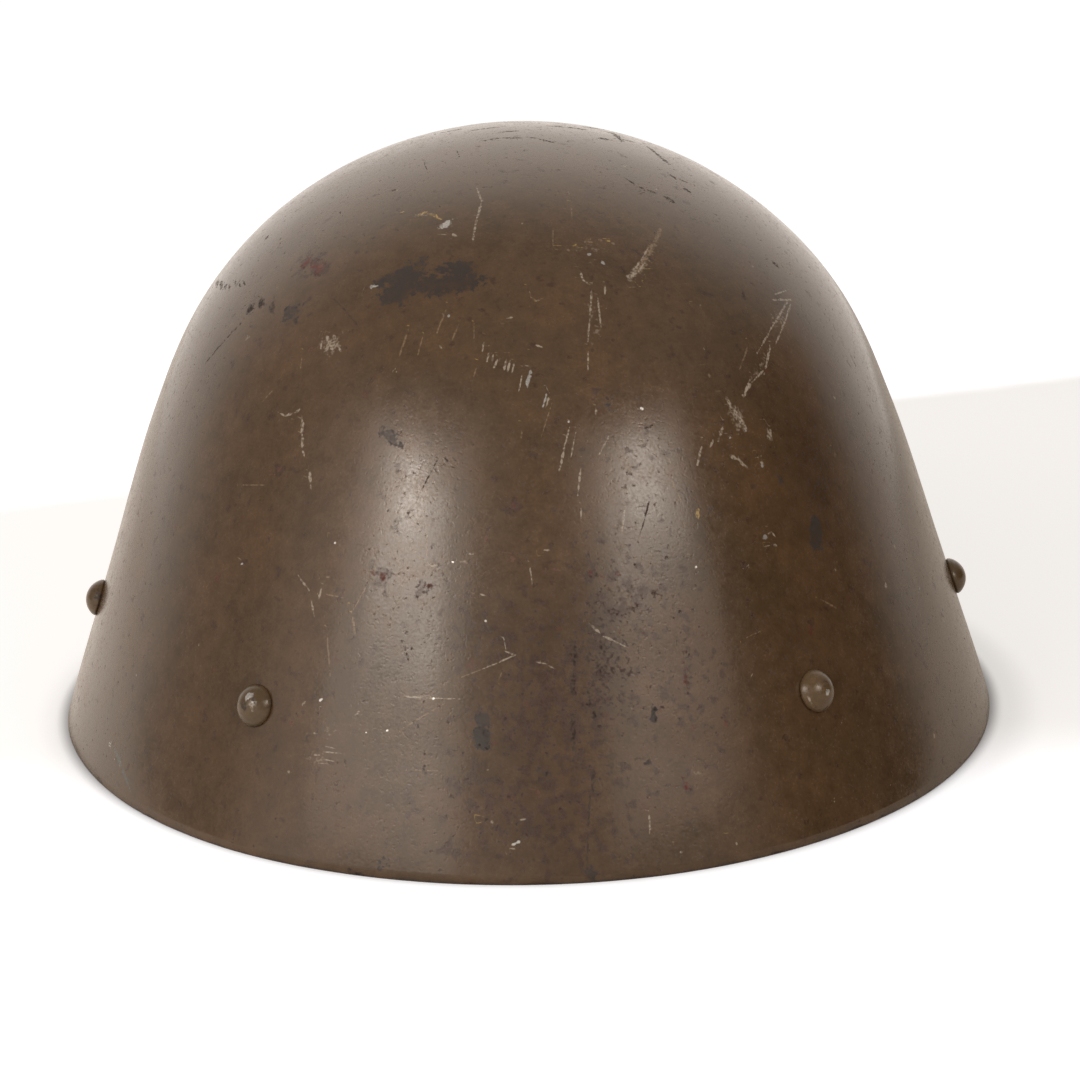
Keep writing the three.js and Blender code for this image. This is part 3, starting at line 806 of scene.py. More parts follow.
@dataclass(frozen=True)
class WornPaint:
    """Satin brown-olive paint with marks, stains, specks, a fine uneven grain and a dark band along the bottom edge,
    partly rubbed paint and partly painted shade. Sizes in metres.
    """

    name: str
    colour: Colour = (0.084, 0.0500, 0.0262)
    warm: Colour = (0.090, 0.0510, 0.0255)
    cool: Colour = (0.075, 0.0475, 0.0255)
    film: Colour = (0.030, 0.020, 0.016)
    soot: Colour = (0.026, 0.016, 0.015)
    blotch: Colour = (0.036, 0.016, 0.012)
    rust_edge: Colour = (0.040, 0.020, 0.013)
    rust: Colour = (0.190, 0.036, 0.034)
    ink: Colour = (0.022, 0.0165, 0.0155)
    rubbed_and_shaded_rim: Colour = (0.030, 0.019, 0.015)
    dark_speck: Colour = (0.024, 0.013, 0.009)
    red_fleck: Colour = (0.085, 0.024, 0.016)
    red_dot: Colour = (0.095, 0.026, 0.017)
    pale_dot: Colour = (0.32, 0.27, 0.20)
    roughness: float = 0.18
    specks: float = 1.0
    grain_height: float = 0.000014
    drift_size: float = 0.040
    cloud_size: float = 0.022
    kind_size: float = 0.006
    mottle_size: float = 0.0045
    dot_spacing: float = 0.0036
    blotch_size: float = 0.0026
    grain_size: float = 0.0011
    fine_size: float = 0.0006
    rim_band: tuple[float, float] = (0.0007, 0.0012)

    def build(self) -> bpy.types.Material:
        """Makes the material.

        Returns:
            The material.
        """
        material, board = new_board(self.name)
        place = board.place()
        cloud = board.noise(place, self.cloud_size, 2.0, 0.60)
        mottle = board.noise(place, self.mottle_size, 2.0, 0.65)
        grain = board.noise(place, self.grain_size, 1.0, 0.6)
        fine = board.noise(place, self.fine_size, 0.0)
        grains = Grains(cloud, mottle, grain, fine)
        vector, last = board.attribute("stains")
        stains = dict(zip(Stain, (*board.parts(vector), last)))

        paint = board.mix(cloud.smooth(0.35, 0.68), self.cool, self.warm)
        paint = board.mix(0.5, paint, self.colour)
        tint = (mottle * 0.70 + 0.65) * (grain * 0.36 + fine * 0.24 + 0.70) * (cloud * 0.3 + 0.85)
        grey = board.value("ShaderNodeCombineXYZ", {}, {0: tint, 1: tint, 2: tint})
        paint = board.mix(1.0, paint, grey, "MULTIPLY")
        paint, speck = self._specks(board, place, paint, stains, grains)
        paint, roughening = self._stains(board, place, paint, stains, grains)
        paint, bare, gone, cut = self._marks(board, paint, grains)
        rim = board.parts(place)[2]
        # Within about a millimetre of the bottom edge the paint turns dark: partly rubbed paint, partly painted shade
        # where the rim meets the floor.
        rim_wear_and_shade = (rim + mottle * 0.0010).smooth(*self.rim_band, 1.0, 0.0)
        paint = board.mix(rim_wear_and_shade * 0.7, paint, self.rubbed_and_shaded_rim)

        rough = self.roughness + (cloud - 0.5) * 0.10 + (mottle - 0.5) * 0.18 + (fine - 0.5) * 0.22
        for mask, amount in (*roughening, (speck, 0.10), (gone, 0.12), (rim_wear_and_shade, 0.15), (cut, 0.60)):
            rough = rough + mask * amount
        height = fine * 0.55 + grain * 0.5 - grain.smooth(0.58, 0.72) * 0.65
        finish_surface(board, {
            "Base Color": paint,
            "Roughness": rough,
            "Metallic": bare * 0.75,
            "Normal": board.bump(height, self.grain_height),
            "IOR": 1.5,
        })
        return material

    def _specks(self, board: Board, place: Value, paint: Value, stains: dict[Stain, Value],
                grains: Grains) -> tuple[Value, Value]:
        """Scatters small dark, red and pale specks.

        Args:
            board: the material's board.
            place: the place on the object.
            paint: the paint below.
            stains: the stain fields, where specks crowd together.
            grains: the noises that make them ragged.

        Returns:
            The paint with its specks, and where they are.
        """
        rust, soot = stains[Stain.RUST], stains[Stain.SOOT]
        drift = board.noise(place, self.drift_size, 0.0).smooth(0.35, 0.70)
        low = board.parts(place)[2].smooth(0.01, 0.12, 1.0, 0.4)
        crowd = (rust.least(0.6) * 0.15 + soot.least(0.7) * 0.17 + drift * low * 0.018) * self.specks
        flecks = (board.noise(place, self.grain_size, 2.0, 0.75) + crowd).smooth(0.675, 0.745)
        kind = board.noise(place, self.kind_size, 0.0)
        tone = board.mix(kind.smooth(0.40, 0.62), self.dark_speck, self.red_fleck)
        paint = board.mix(flecks * 0.38, paint, tone)

        sockets = {"Vector": place, "Scale": 1 / self.dot_spacing}
        cell = board.add("ShaderNodeTexVoronoi", {"feature": "F1"}, sockets)
        pick, spread, kind = board.parts(Value(board, cell.outputs["Color"]))
        ragged = (grains.fine - 0.5) + (grains.grain - 0.5) * 0.5
        distance = Value(board, cell.outputs["Distance"]) + ragged * 0.7
        radius = spread * spread * 0.22 + 0.06
        odds = (drift * 0.10 + 0.03 + soot * 0.9 + rust * 0.8) * low * self.specks
        dot = (distance - radius).smooth(-0.07, 0.07, 1.0, 0.0) * (pick < odds)
        paint = board.mix(dot * 0.48, paint, board.mix(kind.smooth(0.35, 0.8), self.dark_speck, self.red_dot))
        pale = (pick > 0.975) * (distance - radius * 0.4).smooth(-0.05, 0.02, 1.0, 0.0)
        paint = board.mix(pale * 0.6, paint, self.pale_dot)
        return paint, flecks.most(dot)

    def _stains(self, board: Board, place: Value, paint: Value, stains: dict[Stain, Value],
                grains: Grains) -> tuple[Value, Roughening]:
        """Lays dust, soot, blotches, rust and ink over the paint, in that order.

        Args:
            board: the material's board.
            place: the place on the object.
            paint: the paint below.
            stains: the stain fields.
            grains: the noises that make their edges ragged.

        Returns:
            The paint with its stains, and where and how much each of them roughens it.
        """
        ink, rust, dust, soot = stains.values()
        mottle, grain, fine = grains.mottle, grains.grain, grains.fine
        ragged = (mottle - 0.5) * 0.60 + (grain - 0.5) * 0.70 + (fine - 0.5) * 0.45
        dusty = (dust + ragged * 0.8).smooth(0.40, 0.75) * (fine * 0.4 + grain * 0.6).smooth(0.36, 0.62)
        paint = board.mix(dusty * 0.6, paint, TONE_COLOURS[Tone.PALE])
        paint = board.mix(soot.smooth(0.0, 0.6) * 0.30, paint, self.film)
        sooty = (soot + (grain - 0.5) * 1.9 + (fine - 0.5) * 1.5).smooth(0.44, 0.78) * 0.62
        paint = board.mix(sooty, paint, self.soot)
        blotch = board.noise(place, self.blotch_size, 1.0, 0.65)
        blotched = (blotch + rust.least(0.6) * 0.40 + (grain - 0.5) * 0.25).smooth(0.62, 0.78) * 0.60
        paint = board.mix(blotched, paint, self.blotch)
        rusty = (rust + ragged * 1.3).smooth(0.40, 0.85)
        red = board.mix(rust.smooth(0.45, 0.85), self.rust_edge, self.rust)
        paint = board.mix(rusty * 0.62, paint, red)
        inky = (ink + ragged * 1.1).smooth(0.36, 0.60) * ((mottle - 0.5) * 1.3 + 0.80).least(0.90)
        paint = board.mix(inky, paint, self.ink)
        return paint, [(dusty, 0.15), (inky, 0.32), (sooty, 0.3), (rusty, 0.25), (blotched, 0.2)]

    @staticmethod
    def _marks(board: Board, paint: Value, grains: Grains) -> tuple[Value, Value, Value, Value]:
        """Lays the scratches and chips over the paint.

        Args:
            board: the material's board.
            paint: the paint below.
            grains: the noises that make their edges ragged and break them up.

        Returns:
            The paint with its marks, where bare metal shows, where any paint is gone, and where it is cut dark.
        """
        ramp = [(tone.value - TONE_STEP, TONE_COLOURS[tone], TONE_STRENGTHS[tone]) for tone in Tone]
        rough_edge = (grains.grain - 0.5) * 2.6 + (grains.mottle - 0.5) * 0.9
        broken = grains.fine.smooth(0.34, 0.54, 0.3, 1.0)
        steels: list[Value] = []
        wears: list[Value] = []
        cuts: list[Value] = []
        for index in range(LAYERS):
            vector, tone = board.attribute(f"marks_{index}")
            reach = board.length(board.stretch(vector, (1.0, 1.0, 0.0)))
            window = board.parts(vector)[2]
            mask = (reach + rough_edge).smooth(0.75, 1.25, 1.0, 0.0) * window
            look = board.add("ShaderNodeValToRGB", {"stops": ramp}, {0: tone})
            metal = (tone > METAL_TONES[0]) * (tone < METAL_TONES[1])
            mask = mask * Value(board, look.outputs[1]) * broken.most(metal)
            paint = board.mix(mask, paint, Value(board, look.outputs[0]))
            steels.append(mask * metal)
            wears.append(mask * (tone > PAINT_CUT))
            cuts.append(mask * (tone < PAINT_CUT))
        return paint, reduce(Value.most, steels), reduce(Value.most, wears), reduce(Value.most, cuts)


@dataclass(frozen=True)
class InsidePaint:
    """Duller, darker paint of the hollow side, rubbed and lightly rusted. Sizes in metres."""

    name: str = "inside_paint"
    colour: Colour = (0.060, 0.036, 0.018)
    faded: Colour = (0.074, 0.047, 0.026)
    rust: Colour = (0.070, 0.026, 0.012)
    rubbed: Colour = (0.20, 0.17, 0.13)
    roughness: float = 0.55
    relief: float = 0.00006
    cloud_size: float = 0.025
    rub_size: float = 0.006
    grain_size: float = 0.0014

    def build(self) -> bpy.types.Material:
        """Makes the material.

        Returns:
            The material.
        """
        material, board = new_board(self.name)
        place = board.place()
        cloud = board.noise(place, self.cloud_size, 4.0, 0.6)
        grain = board.noise(place, self.grain_size, 3.0, 0.6)
        rubs = board.noise(board.stretch(place, (1.0, 1.0, 6.0)), self.rub_size, 2.0, 0.6)
        paint = board.mix(cloud.smooth(0.3, 0.7), self.colour, self.faded)
        paint = board.mix((cloud * 0.5 + grain * 0.5).smooth(0.56, 0.66) * 0.7, paint, self.rust)
        paint = board.mix(rubs.smooth(0.66, 0.74) * 0.35, paint, self.rubbed)
        rough = self.roughness + (grain - 0.5) * 0.2 + (cloud - 0.5) * 0.12
        normal = board.bump(grain + rubs * 0.4, self.relief)
        finish_surface(board, {"Base Color": paint, "Roughness": rough, "Normal": normal})
        return material


@dataclass(frozen=True)
class RawEdge:
    """The cut edge of the steel: dark, dull and brown, with a few bright nicks. Sizes in metres."""

    name: str = "raw_edge"
    dark: Colour = (0.030, 0.022, 0.019)
    brown: Colour = (0.065, 0.034, 0.022)
    bright: Colour = (0.36, 0.33, 0.30)
    roughness: float = 0.62
    relief: float = 0.00008
    cloud_size: float = 0.006
    grain_size: float = 0.0009

    def build(self) -> bpy.types.Material:
        """Makes the material.

        Returns:
            The material.
        """
        material, board = new_board(self.name)
        place = board.place()
        cloud = board.noise(place, self.cloud_size, 4.0, 0.65)
        grain = board.noise(place, self.grain_size, 2.0, 0.6)
        steel = board.mix(cloud.smooth(0.35, 0.65), self.dark, self.brown)
        nick = (cloud * 0.6 + grain * 0.4).smooth(0.60, 0.66)
        steel = board.mix(nick, steel, self.bright)
        rough = self.roughness + (grain - 0.5) * 0.2 - nick * 0.25
        normal = board.bump(grain + cloud, self.relief)
        finish_surface(board, {"Base Color": steel, "Roughness": rough, "Metallic": nick * 0.8, "Normal": normal})
        return material


# The shell


@dataclass
class Ripples:
    """A gentle unevenness of pressed steel: seeded waves that push the surface inward."""

    seed: int = 11
    waves: tuple[tuple[float, float, int], ...] = ((0.085, 0.00009, 9), (0.045, 0.00005, 12), (0.018, 0.000012, 12))
    inset: float = 0.00022

    def depth(self, points: np.ndarray) -> np.ndarray:
        """Works out how far inward the surface lies at each point.

        Args:
            points: the points.

        Returns:
            The depths, never less than zero.
        """
        draw = np.random.default_rng(self.seed)
        total = np.zeros(len(points))
        for length, height, count in self.waves:
            for _ in range(count):
                way = draw.normal(size=3)
                way /= np.linalg.norm(way)
                phase = draw.uniform(0, 2 * math.pi)
                total += height * math.sqrt(2 / count) * np.sin(points @ way * (2 * math.pi / length) + phase)
        return np.clip(self.inset - total, 0, 2 * self.inset)


@dataclass
class ShellForm:
    """The egg-shaped dome with its conical skirt, as a smooth form. Metres and degrees."""

    width: float = 0.244
    brow_reach: float = 0.145
    nape_reach: float = 0.137
    height: float = 0.148
    wall: float = 0.0012
    brow_exponent: float = 2.0
    nape_exponent: float = 2.12
    slope_step: float = 0.01
    sections: tuple[tuple[float, float], ...] = (
        (0, 1.0), (10, 0.944), (20, 0.917), (32, 0.922), (45, 0.957), (58, 0.985), (72, 1.006), (90, 1.02),
    )

    @property
    def widest_line(self) -> float:
        """Where the widest line lies along Y."""
        return (self.brow_reach - self.nape_reach) / 2

    def _slopes(self) -> np.ndarray:
        """Works out the slope of the side curve at each section.

        Returns:
            The slopes, as fullness for each degree.
        """
        latitude, fullness = np.array(self.sections).T
        rises = np.diff(fullness) / np.diff(latitude)
        slopes = np.zeros(len(latitude))
        slopes[1:-1] = (rises[:-1] + rises[1:]) / 2
        slopes[0] = (3 * rises[0] - slopes[1]) / 2
        return slopes

    def share(self, latitude: np.ndarray) -> np.ndarray:
        """Works out how wide the ring at each latitude is.

        Args:
            latitude: the latitudes, from 0 at the rim to 90 at the crown.

        Returns:
            The rings' widths, as shares of the rim's.
        """
        stops, fullness = np.array(self.sections).T
        slopes = self._slopes()
        row = np.clip(np.searchsorted(stops, latitude, side="left") - 1, 0, len(stops) - 2)
        span = stops[row + 1] - stops[row]
        t = (latitude - stops[row]) / span
        curve = (
            (2 * t**3 - 3 * t**2 + 1) * fullness[row]
            + (t**3 - 2 * t**2 + t) * span * slopes[row]
            + (3 * t**2 - 2 * t**3) * fullness[row + 1]
            + (t**3 - t**2) * span * slopes[row + 1]
        )
        return curve * np.cos(np.radians(latitude))

    def outer(self, latitude: np.ndarray, bearing: np.ndarray) -> np.ndarray:
        """Works out points of the outer face.

        Args:
            latitude: the latitudes.
            bearing: the bearings: 0 is the brow and 90 is at +X.

        Returns:
            The points.
        """
        ahead, aside = np.cos(np.radians(bearing)), np.sin(np.radians(bearing))
        front = ahead >= 0
        reach = np.where(front, self.brow_reach, self.nape_reach)
        power = 2 / np.where(front, self.brow_exponent, self.nape_exponent)
        share = self.share(latitude)
        x = self.width / 2 * share * np.sign(aside) * np.abs(aside) ** power
        y = self.widest_line - reach * share * np.sign(ahead) * np.abs(ahead) ** power
        return np.stack([x, y, self.height * np.sin(np.radians(latitude))], axis=-1)

    def outward(self, latitude: np.ndarray, bearing: np.ndarray) -> np.ndarray:
        """Works out the way out of the outer face.

        Args:
            latitude: the latitudes.
            bearing: the bearings.

        Returns:
            The direction at each point.
        """
        step = self.slope_step
        round_ = self.outer(latitude, bearing + step) - self.outer(latitude, bearing - step)
        rise = self.outer(latitude + step, bearing) - self.outer(latitude - step, bearing)
        normal = np.cross(round_, rise)
        return normal / np.linalg.norm(normal, axis=-1, keepdims=True)


@dataclass
class Rivet:
    """One domed rivet through the wall. Metres and degrees."""

    name: str
    bearing: float
    lift: float = 0.030
    head_radius: float = 0.00475
    head_height: float = 0.0035
    edge_height: float = 0.00055
    sunk: float = 0.0003
    shank_radius: float = 0.0024
    tail_radius: float = 0.004
    tail_height: float = 0.0014
    tail_gap: float = 0.0002
    tail_bevel: float = 0.0005
    foot_bevels: tuple[float, float] = (0.00025, 0.00008)
    foot_height: float = 0.00022
    brow_round: float = 0.00006
    lean: float = 0.00008
    wobble: float = 0.006
    mark_reach: float = 0.0011
    sides: int = 72
    dome_rings: int = 18

    def seat(self, form: ShellForm) -> Matrix:
        """Works out where the rivet stands.

        Args:
            form: the shell that it stands in.

        Returns:
            Its place, with its axis along Z.
        """
        latitude = np.degrees(np.arcsin(self.lift / form.height))
        point = form.outer(np.array(latitude), np.array(self.bearing))
        outward = Vector(form.outward(np.array(latitude), np.array(self.bearing)))
        turn = Vector((0, 0, 1)).rotation_difference(outward).to_matrix().to_4x4()
        return Matrix.Translation(Vector(point)) @ turn

    def _profile(self, wall: float) -> list[tuple[float, float]]:
        """Works out the rivet's side curve.

        Args:
            wall: the wall's thickness.

        Returns:
            Radius and height of each ring, from the middle of the tail to the top of the dome.
        """
        under = -wall - self.tail_gap
        bevel = self.tail_bevel
        rings = [
            (0.0, under - self.tail_height),
            (self.tail_radius - 3 * bevel, under - self.tail_height),
            (self.tail_radius - bevel, under - self.tail_height + 0.3 * bevel),
            (self.tail_radius, under - self.tail_height + bevel),
            (self.tail_radius, under),
            (self.shank_radius, under),
            (self.shank_radius, -self.sunk),
            (self.head_radius - self.foot_bevels[0], -self.sunk),
            (self.head_radius - self.foot_bevels[1], 0.0),
            (self.head_radius, self.foot_height),
            (self.head_radius, self.edge_height * 0.75),
        ]
        rise = self.head_height - self.edge_height
        radius = (self.head_radius**2 + rise**2) / (2 * rise)
        sweep = math.asin(self.head_radius / radius)
        for ring in range(self.dome_rings + 1):
            angle = sweep * (1 - ring / self.dome_rings)
            along = self.edge_height + radius * (math.cos(angle) - math.cos(sweep))
            if ring == 0:
                rings.append((self.head_radius - self.brow_round, along))
            else:
                rings.append((radius * math.sin(angle) if ring < self.dome_rings else 0.0, along))
        return rings

    def build(self, form: ShellForm, view: PictureView, paint: bpy.types.Material) -> bpy.types.Object:
        """Makes the rivet.

        Args:
            form: the shell that it stands in.
            view: the picture's view, which places its chips and its painted highlight.
            paint: its finish.

        Returns:
            The rivet's object.
        """
        rings = self._profile(form.wall)
        seat = self.seat(form)
        draw = np.random.default_rng(int(self.bearing * 7) % 997)
        lean = draw.uniform(-self.lean, self.lean, 2)
        points: list[Vector] = [seat @ Vector((0, 0, rings[0][1]))]
        for radius, rise in rings[1:-1]:
            share = max(rise, 0.0) / self.head_height
            for side in range(self.sides):
                angle = 2 * math.pi * side / self.sides
                flat = radius * (1 + self.wobble * math.sin(3 * angle + lean[0] * 4e4) * (rise > 0))
                x = flat * math.cos(angle) + lean[0] * share
                y = flat * math.sin(angle) + lean[1] * share
                points.append(seat @ Vector((x, y, rise)))
        points.append(seat @ Vector((lean[0], lean[1], rings[-1][1])))
        count, sides = len(rings) - 2, self.sides
        last = len(points) - 1
        faces: list[tuple[int, ...]] = []
        for side in range(sides):
            after = (side + 1) % sides
            faces.append((0, 1 + after, 1 + side))
            for ring in range(count - 1):
                low, high = 1 + ring * sides, 1 + (ring + 1) * sides
                faces.append((low + side, low + after, high + after, high + side))
            top = 1 + (count - 1) * sides
            faces.append((top + side, top + after, last))
        mesh = bpy.data.meshes.new(self.name + "_dressed")
        mesh.from_pydata([tuple(p) for p in points], [], faces)
        mesh.shade_smooth()
        marks = MarkMap(view, mesh, self.mark_reach)
        marks.draw_picture_marks(RIVET_MARKS_AND_HIGHLIGHT)
        marks.store()
        mesh.materials.append(paint)
        piece = new_object(self.name + "_dressed", mesh)
        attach(piece, "root")
        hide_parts(self.name)
        return piece


# The rivets' own chips and one painted highlight, in picture pixels
RIVET_MARKS_AND_HIGHLIGHT: dict[Tone, Rows] = {
    Tone.STEEL: ((246, 698, 252, 694, 4.2), (826, 690, 829, 695, 3.6)),
    Tone.DARK: ((242, 702, 246, 712, 4.6), (251, 700, 255, 699, 3.0), (100, 594, 101, 600, 3.0)),
    # The first pale row is a painted highlight on the near left rivet
    Tone.PALE: ((250, 704, 253, 711, 4.4), (808, 697, 812, 704, 2.0), (102, 608, 104, 612, 2.0)),
}

# Each pair of rivets and its bearing, left and right
RIVETS: tuple[tuple[str, float], ...] = (("brow", 33.5), ("temple", 82.0), ("nape", 141.0))


class Face(IntEnum):
    """The shell's faces, by the number of their finish."""

    OUTER = 0
    INNER = 1
    EDGE = 2


@dataclass
class Shell:
    """The pressed steel shell: outer face, rounded cut rim, inner face and six drilled holes."""

    form: ShellForm = field(default_factory=ShellForm)
    ripples: Ripples = field(default_factory=Ripples)
    front_columns: int = 380
    back_columns: int = 160
    outer_rows: int = 128
    inner_rows: int = 34
    edge_round: float = 0.0003
    # How far in from the outer face and how high each ring of the cut rim lies
    rim_rings: tuple[tuple[float, float], ...] = (
        (0.00006, 0.00014), (0.0002, 0.00002), (0.0003, 0.0), (0.0009, 0.0), (0.00112, 0.00008),
    )
    inner_rim_height: float = 0.0004
    nick_seed: int = 5
    nicks: int = 46
    nick_sizes: tuple[float, float] = (0.0008, 0.0028)
    nick_depths: tuple[float, float] = (0.00003, 0.00013)
    nick_slant: float = 0.6
    hole_radius: float = 0.00255
    hole_sides: int = 32
    hole_half_length: float = 0.003
    mark_reach: float = 0.0021

    def _bearings(self) -> np.ndarray:
        """Spaces the columns, closer together over the front half.

        Returns:
            The bearing of each column.
        """
        front = np.linspace(-90, 90, self.front_columns, endpoint=False)
        back = np.linspace(90, 270, self.back_columns, endpoint=False)
        return np.concatenate([front, back])

    def _rings(self) -> tuple[list[np.ndarray], list[Face]]:
        """Lays the rings from the outer crown down, round the rim and up the inner face.

        Returns:
            The rings, and the face that each is part of.
        """
        form, bearing = self.form, self._bearings()
        rings: list[np.ndarray] = []
        faces: list[Face] = []
        low = math.degrees(math.asin(self.edge_round / form.height))
        for latitude in np.linspace(90, low, self.outer_rows + 1)[1:]:
            level = np.full_like(bearing, latitude)
            point, out = form.outer(level, bearing), form.outward(level, bearing)
            rings.append(point - out * self.ripples.depth(point)[:, None])
            faces.append(Face.OUTER)
        base, out = rings[-1], form.outward(np.full_like(bearing, low), bearing)
        flat = out * (1, 1, 0)
        flat /= np.linalg.norm(flat, axis=1, keepdims=True)
        nicks = self._nicks(base)
        for index, (inward, height) in enumerate(self.rim_rings):
            ring = base - flat * (inward + nicks[:, None] * self.nick_slant)
            ring[:, 2] = height + nicks * (index == 0)
            rings.append(ring)
            faces.append(Face.EDGE)
        for latitude in np.linspace(low, 90, self.inner_rows + 1)[:-1]:
            level = np.full_like(bearing, latitude)
            point, out = form.outer(level, bearing), form.outward(level, bearing)
            ring = point - out * (self.ripples.depth(point)[:, None] + form.wall)
            if latitude == low:
                ring[:, 2] = np.maximum(ring[:, 2], self.inner_rim_height)
            rings.append(ring)
            faces.append(Face.INNER)
        return rings, faces

    def _nicks(self, points: np.ndarray) -> np.ndarray:
        """Knocks small nicks along the edge.

        Args:
            points: the edge's points, one for each column.

        Returns:
            How deep the edge is knocked in at each.
        """
        draw = np.random.default_rng(self.nick_seed)
        depth = np.zeros(len(points))
        for _ in range(self.nicks):
            centre = points[draw.integers(len(points))]
            size = draw.uniform(*self.nick_sizes)
            distance = np.linalg.norm(points - centre, axis=1)
            depth = np.maximum(depth, draw.uniform(*self.nick_depths) * np.exp(-((distance / size) ** 2)))
        return depth

    def _blank(self) -> bpy.types.Mesh:
        """Makes the closed shell before it is drilled.

        Returns:
            Its mesh.
        """
        rings, parts = self._rings()
        columns = len(rings[0])
        points = np.concatenate(rings)
        middle, height = self.form.widest_line, self.form.height
        height -= self.ripples.depth(np.array([[0, middle, height]]))[0]
        vertices = [tuple(p) for p in points] + [(0, middle, height), (0, middle, height - self.form.wall)]
        top, bottom = len(points), len(points) + 1
        faces: list[tuple[int, ...]] = []
        slots: list[int] = []
        last = (len(rings) - 1) * columns
        for column in range(columns):
            after = (column + 1) % columns
            faces.append((top, column, after))
            slots.append(int(Face.OUTER))
            for ring in range(len(rings) - 1):
                high, low = ring * columns, (ring + 1) * columns
                faces.append((high + column, low + column, low + after, high + after))
                slots.append(int(Face.EDGE if Face.EDGE in parts[ring:ring + 2] else parts[ring]))
            faces.append((bottom, last + after, last + column))
            slots.append(int(Face.INNER))
        mesh = bpy.data.meshes.new("shell_dressed")
        mesh.from_pydata(vertices, [], faces)
        mesh.polygons.foreach_set("material_index", slots)
        return mesh

    def _drill(self, piece: bpy.types.Object, rivets: list[Rivet]) -> None:
        """Cuts each rivet's hole.

        Args:
            piece: the shell.
            rivets: the rivets that stand in it.
        """
        points: list[Vector] = []
        faces: list[tuple[int, ...]] = []
        sides, radius = self.hole_sides, self.hole_radius
        for rivet in rivets:
            seat, start = rivet.seat(self.form), len(points)
            for rise in (-self.hole_half_length, self.hole_half_length):
                for side in range(sides):
                    angle = 2 * math.pi * side / sides
                    points.append(seat @ Vector((math.cos(angle) * radius, math.sin(angle) * radius, rise)))
            faces.append(tuple(start + side for side in reversed(range(sides))))
            faces.append(tuple(start + sides + side for side in range(sides)))
            for side in range(sides):
                after = (side + 1) % sides
                faces.append((start + side, start + after, start + sides + after, start + sides + side))
        mesh = bpy.data.meshes.new("drills")
        mesh.from_pydata([tuple(p) for p in points], [], faces)
        drills = new_object("drills", mesh)
        cut = piece.modifiers.new("holes", "BOOLEAN")
        cut.operation = "DIFFERENCE"
        cut.object = drills
        cut.solver = "MANIFOLD"
        graph = bpy.context.evaluated_depsgraph_get()
        drilled = bpy.data.meshes.new_from_object(piece.evaluated_get(graph))
        piece.modifiers.clear()
        piece.data = drilled
        bpy.data.objects.remove(drills)

    def build(self, rivets: list[Rivet], view: PictureView, finishes: list[bpy.types.Material]) -> bpy.types.Object:
        """Makes the shell.

        Args:
            rivets: the rivets that it is drilled for.
            view: the picture's view, which places its marks.
            finishes: its outer paint, inner paint and raw edge.

        Returns:
            The shell's object.
        """
        piece = new_object("shell_dressed", self._blank())
        for finish in finishes:
            piece.data.materials.append(finish)
        self._drill(piece, rivets)
        mesh = piece.data
        mesh.name = "shell_dressed"
        mesh.shade_smooth()
        marks = MarkMap(view, mesh, self.mark_reach)
        marks.draw_picture_marks(MARKS)
        marks.spread_picture_stains(STAINS)
        marks.scatter(RearWear())
        marks.store()
        log.info("shell: %d vertices, %d marks dropped", len(mesh.vertices), marks.dropped)
        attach(piece, "root")
        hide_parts("shell")
        return piece


# The studio


@dataclass(frozen=True)
class Softbox:
    """One rectangular lamp, by where it stands round the helmet. Metres and degrees."""

    name: str
    azimuth: float
    elevation: float
    width: float
    height: float
    radiance: float
    distance: float = 1.2
    colour: Colour = (1.0, 0.905, 0.81)

    def build(self, aim: Vector) -> bpy.types.Object:
        """Makes the lamp.

        Args:
            aim: what it faces.

        Returns:
            The lamp's object.
        """
        data = bpy.data.lights.new(self.name, "AREA")
        data.shape = "RECTANGLE"
        data.size, data.size_y = self.width, self.height
        data.color = self.colour
        data.energy = self.radiance * math.pi * self.width * self.height
        lamp = new_object(self.name, data)
        turn, rise = math.radians(self.azimuth), math.radians(self.elevation)
        way = Vector((math.sin(turn) * math.cos(rise), -math.cos(turn) * math.cos(rise), math.sin(rise)))
        lamp.location = aim + way * self.distance
        lamp.rotation_euler = way.to_track_quat("Z", "Y").to_euler()
        return lamp


@dataclass(frozen=True)
class Glow:
    """A soft patch of light in the surround: its direction, how far it reaches as cosines, and its radiance."""

    way: tuple[float, float, float]
    rim: float
    core: float
    radiance: float

    def light(self, board: Board, direction: Value) -> Value:
        """Shines in the surround.

        Args:
            board: the world's board.
            direction: where each ray goes.

        Returns:
            The patch's light in each direction.
        """
        sockets = {0: direction, 1: self.way}
        facing = board.value("ShaderNodeVectorMath", {"operation": "DOT_PRODUCT"}, sockets, "Value")
        return facing.smooth(self.rim, self.core) * self.radiance


